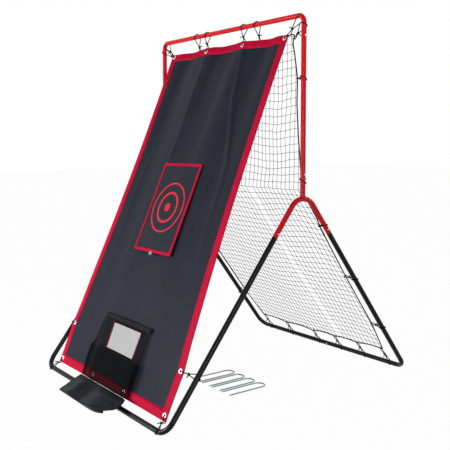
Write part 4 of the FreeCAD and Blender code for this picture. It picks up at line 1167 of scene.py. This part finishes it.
# The rope is drawn this much thicker than the solid, so that it shows from the camera
rope_swell = 0.0009
fold_y = fold_node[1] * leg_down.y
fold_z = meet_height + fold_node[1] * leg_down.z
lower_out = X_AXIS.cross(leg_down).normalized()


def upper_at(x, z, n=0.0):
    down = (net_corner[1] - z) / (net_corner[1] - fold_z)
    return Vector((x, post_y + net_top_back + (fold_y - net_top_back) * down + n, z))


def lower_at(x, d, n=0.0):
    return Vector((x, post_y, meet_height)) + leg_down * d + lower_out * n


def flipped(pairs):
    return [(-x, s) for x, s in reversed(pairs)]


x, z = net_corner
low = (z + net_top_z) / 2 - 0.003
top_line = [(-x, z), (-x / 2, low), (0, net_top_z), (x / 2, low), (x, z)]
foot_line = []
for (xa, da), (xb, db) in zip(foot_nodes, foot_nodes[1:]):
    foot_line += [(xa + (xb - xa) * f, da + (db - da) * f - scallop * 4 * f * (1 - f))
                  for f in np.arange(0, 1, 0.1)]
foot_line.append(foot_nodes[-1])
lower_side = [fold_node] + lower_edge
rope_route = ([upper_at(*p) for p in top_line[2:] + upper_edge] +
              [lower_at(*p) for p in lower_side + foot_line[::-1] + flipped(lower_side)] +
              [upper_at(*p) for p in flipped(upper_edge) + top_line[:2]])
rope_path = rounded(rope_route + rope_route[:1], 0.035, 12.0)[:-1]
shaped("edge_rope", sweep(rope_path, rope_r + rope_swell, 10, closed=True), "frame", "net_rope", ["net_edge_rope"])
print("edge rope", round(sum((a - b).length for a, b in zip(rope_path, rope_path[1:])), 2), "m")

# %% [markdown]
# ## The knotted net
# The netting is black twine with 36 mm square meshes and a knot at every crossing. A short script finds where each
# row and column meets the edge rope. The tree then turns those lines into twine and sets a knot at each crossing.

# %% Net tree
net_tree, inputs = new_tree("knotted_net", [("Twine radius", "Float", 0.0007), ("Knot radius", "Float", 0.002),
                                            ("Sides", "Int", 5), ("Material", "Material", None)])


def captured(curve, label, value):
    """Store a value on a curve, so that it outlives the sweep."""
    node = add(net_tree, "GeometryNodeCaptureAttribute")
    node.capture_items.new("FLOAT", label)
    net_tree.links.new(curve.outputs[0], node.inputs["Geometry"])
    net_tree.links.new(value, node.inputs[label])
    return node.outputs


def random_vector(low, high, seed):
    return add(net_tree, "FunctionNodeRandomValue", {"data_type": "FLOAT_VECTOR"},
               {"Min": (low,) * 3, "Max": (high,) * 3, "Seed": seed}).outputs[0]


spline = add(net_tree, "GeometryNodeSplineParameter").outputs
lines_in = add(net_tree, "GeometryNodeMeshToCurve", links={"Mesh": inputs["Geometry"]})
run = captured(lines_in, "along", spline["Length"])
ring = add(net_tree, "GeometryNodeCurvePrimitiveCircle", links={"Resolution": inputs["Sides"],
                                                                "Radius": inputs["Twine radius"]})
around = captured(ring, "around", spline["Factor"])
twine = add(net_tree, "GeometryNodeCurveToMesh",
            links={"Curve": run["Geometry"], "Profile Curve": around["Geometry"], "Fill Caps": True})
pair = add(net_tree, "ShaderNodeCombineXYZ", links={"X": run["along"], "Y": around["around"]})
mapped = add(net_tree, "GeometryNodeStoreNamedAttribute", {"data_type": "FLOAT2", "domain": "CORNER"},
             {"Geometry": twine.outputs[0], "Name": "UVMap", "Value": pair.outputs[0]})
knots = add(net_tree, "GeometryNodeMeshToPoints", links={"Mesh": inputs["Geometry"],
                                                        "Selection": named(net_tree, "knot", "FLOAT")})
ball = add(net_tree, "GeometryNodeMeshIcoSphere", links={"Radius": inputs["Knot radius"], "Subdivisions": 1})
set_knots = add(net_tree, "GeometryNodeInstanceOnPoints",
                links={"Points": knots.outputs[0], "Instance": ball.outputs["Mesh"],
                       "Rotation": random_vector(0, 6.28, 7), "Scale": random_vector(0.8, 1.25, 3)})
whole = add(net_tree, "GeometryNodeJoinGeometry")
net_tree.links.new(set_knots.outputs[0], whole.inputs[0])
net_tree.links.new(mapped.outputs[0], whole.inputs[0])
close_tree(net_tree, whole.outputs[0], inputs["Material"])
print("tree ready:", net_tree.name)

# %% Net panels
def crossings(outline, value, axis):
    """Where a straight row or column enters and leaves the outline."""
    other = 1 - axis
    found = []
    for a, b in zip(outline, outline[1:] + outline[:1]):
        if (a[axis] - value) * (b[axis] - value) < 0:
            t = (value - a[axis]) / (b[axis] - a[axis])
            found.append(a[other] + (b[other] - a[other]) * t)
    found.sort()
    return list(zip(found[::2], found[1::2]))


pitch, net_belly = (0.031, 0.0365), 0.008
twine_r, twine_knot_r, twine_sides = 0.0010, 0.0026, 5
end_gap = 0.004


def net_panel(name, outline, place, first, belly, node):
    """Rows and columns of twine inside the outline, with a knot where they cross."""
    random = np.random.default_rng(11)
    xs = [i * pitch[0] for i in range(-20, 21)]
    low, high = min(p[1] for p in outline), max(p[1] for p in outline)
    ss = [first + j * pitch[1] for j in range(-60, 61) if low < first + j * pitch[1] < high]
    wide = max(p[0] for p in outline)
    jog = {(i, j): random.normal(0, 0.0016, 2) for i in range(len(xs)) for j in range(len(ss))}
    ends = np.array(outline)

    def shown(x, s):
        """The slack lets the meshes sink and sway, except close to the rope that holds them."""
        rope_way = np.roll(ends, -1, 0) - ends
        t = np.clip(((x - ends[:, 0]) * rope_way[:, 0] + (s - ends[:, 1]) * rope_way[:, 1]) /
                    (rope_way ** 2).sum(1), 0, 1)
        gap = np.hypot(x - ends[:, 0] - t * rope_way[:, 0], s - ends[:, 1] - t * rope_way[:, 1]).min()
        free = min(1.0, gap / 0.11)
        sway = 0.0060 * math.sin(9.0 * x + 5.0 * s + 0.4) + 0.0035 * math.sin(17.0 * s + 4.0 * x)
        sink = 0.0100 * math.sin(7.0 * x + 0.8 * s + 1.0) + 0.0045 * math.sin(15.0 * x - 6.0 * s)
        across, down = min(1.0, abs(x) / wide), (s - low) / (high - low)
        bowed = belly * math.cos(across * math.pi / 2) * math.sin(math.pi * down)
        return place(x + sway * free, s + sink * free, bowed)

    points, edges, knot = [], [], []

    def run_line(stations):
        for k, (x, s, is_knot) in enumerate(stations):
            points.append(shown(x, s))
            knot.append(is_knot)
            if k:
                edges.append((len(points) - 2, len(points) - 1))

    def crossing(i, j, is_knot):
        return xs[i] + jog[i, j][0], ss[j] + jog[i, j][1], is_knot

    for i, x in enumerate(xs):
        for a, b in crossings(outline, x, 0):
            inner = [crossing(i, j, 1.0) for j, s in enumerate(ss) if a + end_gap < s < b - end_gap]
            run_line([(x, a, 0.0)] + inner + [(x, b, 0.0)])
    for j, s in enumerate(ss):
        for a, b in crossings(outline, s, 1):
            inner = [crossing(i, j, 0.0) for i, x in enumerate(xs) if a + end_gap < x < b - end_gap]
            run_line([(a, s, 0.0)] + inner + [(b, s, 0.0)])
    mesh = run_tree(net_tree, with_attributes("net_lines", points, edges, knot=knot), Twine_radius=twine_r,
                    Knot_radius=twine_knot_r, Sides=twine_sides, Material=finishes["net_cord"])
    mesh.name = name
    piece_from(name, mesh, "frame", "net_cord", [node])
    print(name, "knots", int(sum(knot)), "faces", len(mesh.polygons))


upper_side = upper_edge + [(fold_node[0], fold_z)]
net_panel("knotted_net_upper", top_line + upper_side + flipped(upper_side), upper_at, fold_z, net_belly,
          "net_upper")
# The lower panel's first row lies on the fold, where both panels meet
net_panel("knotted_net_lower", lower_side + foot_line[::-1] + flipped(lower_side), lower_at, fold_node[1] + 0.0004,
          -net_belly, "net_lower")

# %% [markdown]
# ## Elastic ties
# Every eyelet, and every place where the rope is pulled out, has a loop of covered elastic: round the tube, both
# ends into one overhand knot, and from there a small loop through the eyelet or round the rope. The two cut ends
# stand out of the knot. Each tie is built from swept bars along such a route.

# %% Tie parts
tie_r = 0.0023
tie_clear = 0.0005
tie_spread = 0.022
knot_size = 0.0017
loop_r = tube_r + tie_clear + tie_r
tails = np.random.default_rng(5)


def tube_turn(centre, along, knot_at):
    """From the knot, round the far side of the tube and back."""
    towards = knot_at - centre
    towards = (towards - along * towards.dot(along)).normalized()
    aside = along.cross(towards)
    part = along * (tie_r * 0.9)
    path = [knot_at + part]
    for k in range(15):
        turn = math.radians(75 + 210 * k / 14)
        path.append(centre + (towards * math.cos(turn) + aside * math.sin(turn)) * loop_r +
                    along * (tie_spread * (0.5 - k / 14)))
    return sweep(path + [knot_at - part], tie_r, 8)


def overhand(centre, axis):
    """A tight knot: a closed trefoil of the same cord."""
    side_way = axis.orthogonal().normalized()
    other = axis.cross(side_way)
    path = []
    for k in range(36):
        t = 2 * math.pi * k / 36
        a, b, c = math.sin(t) + 2 * math.sin(2 * t), math.cos(t) - 2 * math.cos(2 * t), -math.sin(3 * t)
        path.append(centre + (side_way * a + other * b) * knot_size + axis * (c * knot_size * 1.6))
    return sweep(path, tie_r, 7, closed=True)


def cut_ends(centre, axis, outward):
    """The two free ends of a knot, 15 to 24 mm long."""
    parts = []
    for sign in (1, -1):
        length = tails.uniform(0.014, 0.021)
        way = (outward * 0.9 + axis.cross(outward) * sign * tails.uniform(0.5, 1.0) +
               axis * tails.uniform(-0.5, 0.3)).normalized()
        droop = Vector((0, 0, -0.25 * length))
        parts.append(sweep(rounded([centre, centre + way * length * 0.5, centre + way * length + droop], 0.02, 15),
                           tie_r, 8))
    return parts


def tie(centre, along, loop_path, knot_at, outward):
    axis = (knot_at - centre).normalized()
    outward = (outward - axis * outward.dot(axis)).normalized()
    loop = sweep(rounded(loop_path, 0.0035, 30), tie_r, 8)
    return [tube_turn(centre, along, knot_at), overhand(knot_at, axis), loop] + cut_ends(knot_at, axis, outward)


def eye_path(eye, through_way, knot_at):
    """Down one face, through the eyelet and back up the other face."""
    towards = knot_at - eye
    towards = (towards - through_way * towards.dot(through_way)).normalized()
    stand = half_tape + 0.0025 + tie_r
    reach = edge_margin / max(abs(towards.x), abs(towards.dot(slope))) + 0.005
    part = through_way * (tie_r * 0.9)
    return [knot_at + part, eye + through_way * stand + towards * reach, eye + through_way * stand,
            eye - through_way * stand, eye - through_way * stand + towards * reach, knot_at - part]


def rope_path_round(node, rope_way, out_way, knot_at):
    """A small turn round the edge rope and the net's first strand."""
    aside = (out_way - rope_way * out_way.dot(rope_way)).normalized()
    towards = aside.cross(rope_way)
    if towards.dot(knot_at - node) < 0:
        towards = -towards
    stand = rope_r + tie_r + tie_clear
    inner = rope_r + tie_r + tie_clear * 2
    part = aside * (tie_r * 0.9)
    return [knot_at + part, node + aside * stand + towards * stand, node + aside * stand - towards * inner,
            node - aside * stand - towards * inner, node - aside * stand + towards * stand, knot_at - part]


def on_bend(sign, degrees):
    """A place on a top corner's bend, counted up from the post, and the way the tube runs there."""
    swing = math.radians(degrees)
    inwards, lower = corner_bend * (1 - math.cos(swing)), corner_bend * (1 - math.sin(swing))
    centre = Vector((sign * (side_x - inwards), post_y, top_z - lower))
    return centre, Vector((-sign * math.sin(swing), 0, math.cos(swing)))


print("loop of", round(2 * loop_r, 4), "m round each tube")

# %% Ties of the cloth
straight = side_x - corner_bend


def cloth_ties(row):
    parts = []
    for x, v in eyelet_rows[row]:
        sign = 1 if x > 0 else -1
        eye = at(x, v, fold(x, v))
        if row == "top" and abs(x) > eyelet_pitch:
            centre, along = on_bend(sign, 52)
        elif row == "top":
            centre, along = Vector((x, post_y, top_z)), X_AXIS
        elif row == "foot":
            reach = min(abs(x), straight) if abs(x) < eyelet_pitch else straight
            centre, along = Vector((sign * reach, post_y - half_depth, bar_z)), X_AXIS
        else:
            down = (meet_height - (eye.z - 0.015)) / -front_down.z
            centre, along = Vector((sign * side_x, post_y, meet_height)) + front_down * down, front_down
        knot_at = centre + (eye - centre) * 0.52
        parts += tie(centre, along, eye_path(eye, cloth_out(x, v), knot_at), knot_at, -Y_AXIS + Z_AXIS * 0.3)
    return parts


def above_ground(parts):
    """Loops under a bottom bar are pressed flat on the ground."""
    points, faces, uv = joined(parts)
    return [Vector((p[0], p[1], max(p[2], 0.0004))) for p in points], faces, uv


for row in ("top", "foot", "side"):
    name = "elastic_cloth_ties_" + row
    shaped(name, above_ground(cloth_ties(row)), "frame", "elastic_cord", ["curtain_%s_ties" % row])
print("cloth ties", len(eyelet_places))

# %% Ties of the net
def net_tie(centre, along, node, rope_way, out_way, share=0.6, shift=Vector((0, 0, 0)), outward=None):
    knot_at = centre + (node - centre) * share + shift
    return tie(centre, along, rope_path_round(node, rope_way, out_way, knot_at), knot_at, outward or out_way)


def net_ties_top():
    parts = []
    for sign in (-1, 1):
        corner, inner = (sign * net_corner[0], net_corner[1]), (sign * net_corner[0] / 2, low)
        below = (sign * upper_edge[0][0], upper_edge[0][1])
        parts += net_tie(Vector((inner[0], post_y, top_z)), X_AXIS, upper_at(*inner), X_AXIS, Y_AXIS)
        a, b = upper_at(*corner), upper_at(*below)
        centre, along = on_bend(sign, 14)
        parts += net_tie(centre, along, a + (b - a) * 0.62, (b - a).normalized(), Y_AXIS)
    return parts


def net_ties_side(sign):
    parts = []
    for (x, z), shift in ((upper_edge[2], 0), (upper_edge[6], 0.012)):
        parts += net_tie(Vector((sign * side_x, post_y, z - 0.004)), Z_AXIS, upper_at(sign * x, z), Z_AXIS, Y_AXIS,
                         0.62, Y_AXIS * shift)
    for i, on_leg in ((1, -0.010), (3, 0.012), (5, 0.012)):
        x, d = lower_edge[i]
        parts += net_tie(lower_at(sign * side_x, d + on_leg), leg_down, lower_at(sign * x, d), leg_down, lower_out,
                         0.62)
    return parts


def net_ties_foot():
    nodes = [lower_at(*p) for p in foot_nodes]
    for end, step in ((0, 1), (-1, -1)):
        first = foot_nodes[end]
        along_foot = (first[0] + (foot_nodes[end + step][0] - first[0]) * 0.055, first[1] - 0.0026)
        nodes[end] = lower_at(*along_foot)
    parts = []
    for node in nodes:
        centre = Vector((max(-straight, min(straight, node.x * 1.01)), post_y + half_depth, bar_z))
        parts += net_tie(centre, X_AXIS, node, X_AXIS, lower_out, outward=Vector((0.3, -1, 0.6)))
    return parts


for name, parts, node in (("elastic_net_ties_top", net_ties_top(), "net_top_ties"),
                          ("elastic_net_ties_right", net_ties_side(1), "net_ties_right"),
                          ("elastic_net_ties_left", net_ties_side(-1), "net_ties_left"),
                          ("elastic_net_ties_foot", net_ties_foot(), "net_foot_ties")):
    shaped(name, above_ground(parts), "frame", "elastic_cord", [node])
print("net ties done")

# %% [markdown]
# ## Ground stakes
# The four stakes are U's of galvanised wire with cut points. They lie on the ground inside the frame, and each is
# picked up by itself. The wire is swept along the U, and its ends narrow to the points.

# %% Ground stakes
stake_length, stake_width, wire_r = 0.245, 0.062, 0.0035
stake_x, stake_pitch, stake_y = 0.330, 0.084, post_y - 0.250
point_r, point_length = 0.0012, 0.012
for i in range(4):
    x = stake_x - stake_pitch * i
    half, far = stake_width / 2, stake_y + stake_length - wire_r
    route = rounded([(x - half, stake_y, wire_r), (x - half, far, wire_r), (x + half, far, wire_r),
                     (x + half, stake_y, wire_r)], half * 0.98, 6.0)
    ahead = (route[1] - route[0]).normalized()
    cut = ahead * point_length
    route = [route[0], route[0] + cut] + route[1:-1] + [route[-1] + cut, route[-1]]
    rings = [point_r] + [wire_r] * (len(route) - 2) + [point_r]
    number = i + 1
    shaped("wire_stake_%d" % number, sweep(route, wire_r, 14, rings=rings), "stake_%d" % number, "stake_steel",
           ["ground_stake_%d" % number], 50)
print("four stakes")
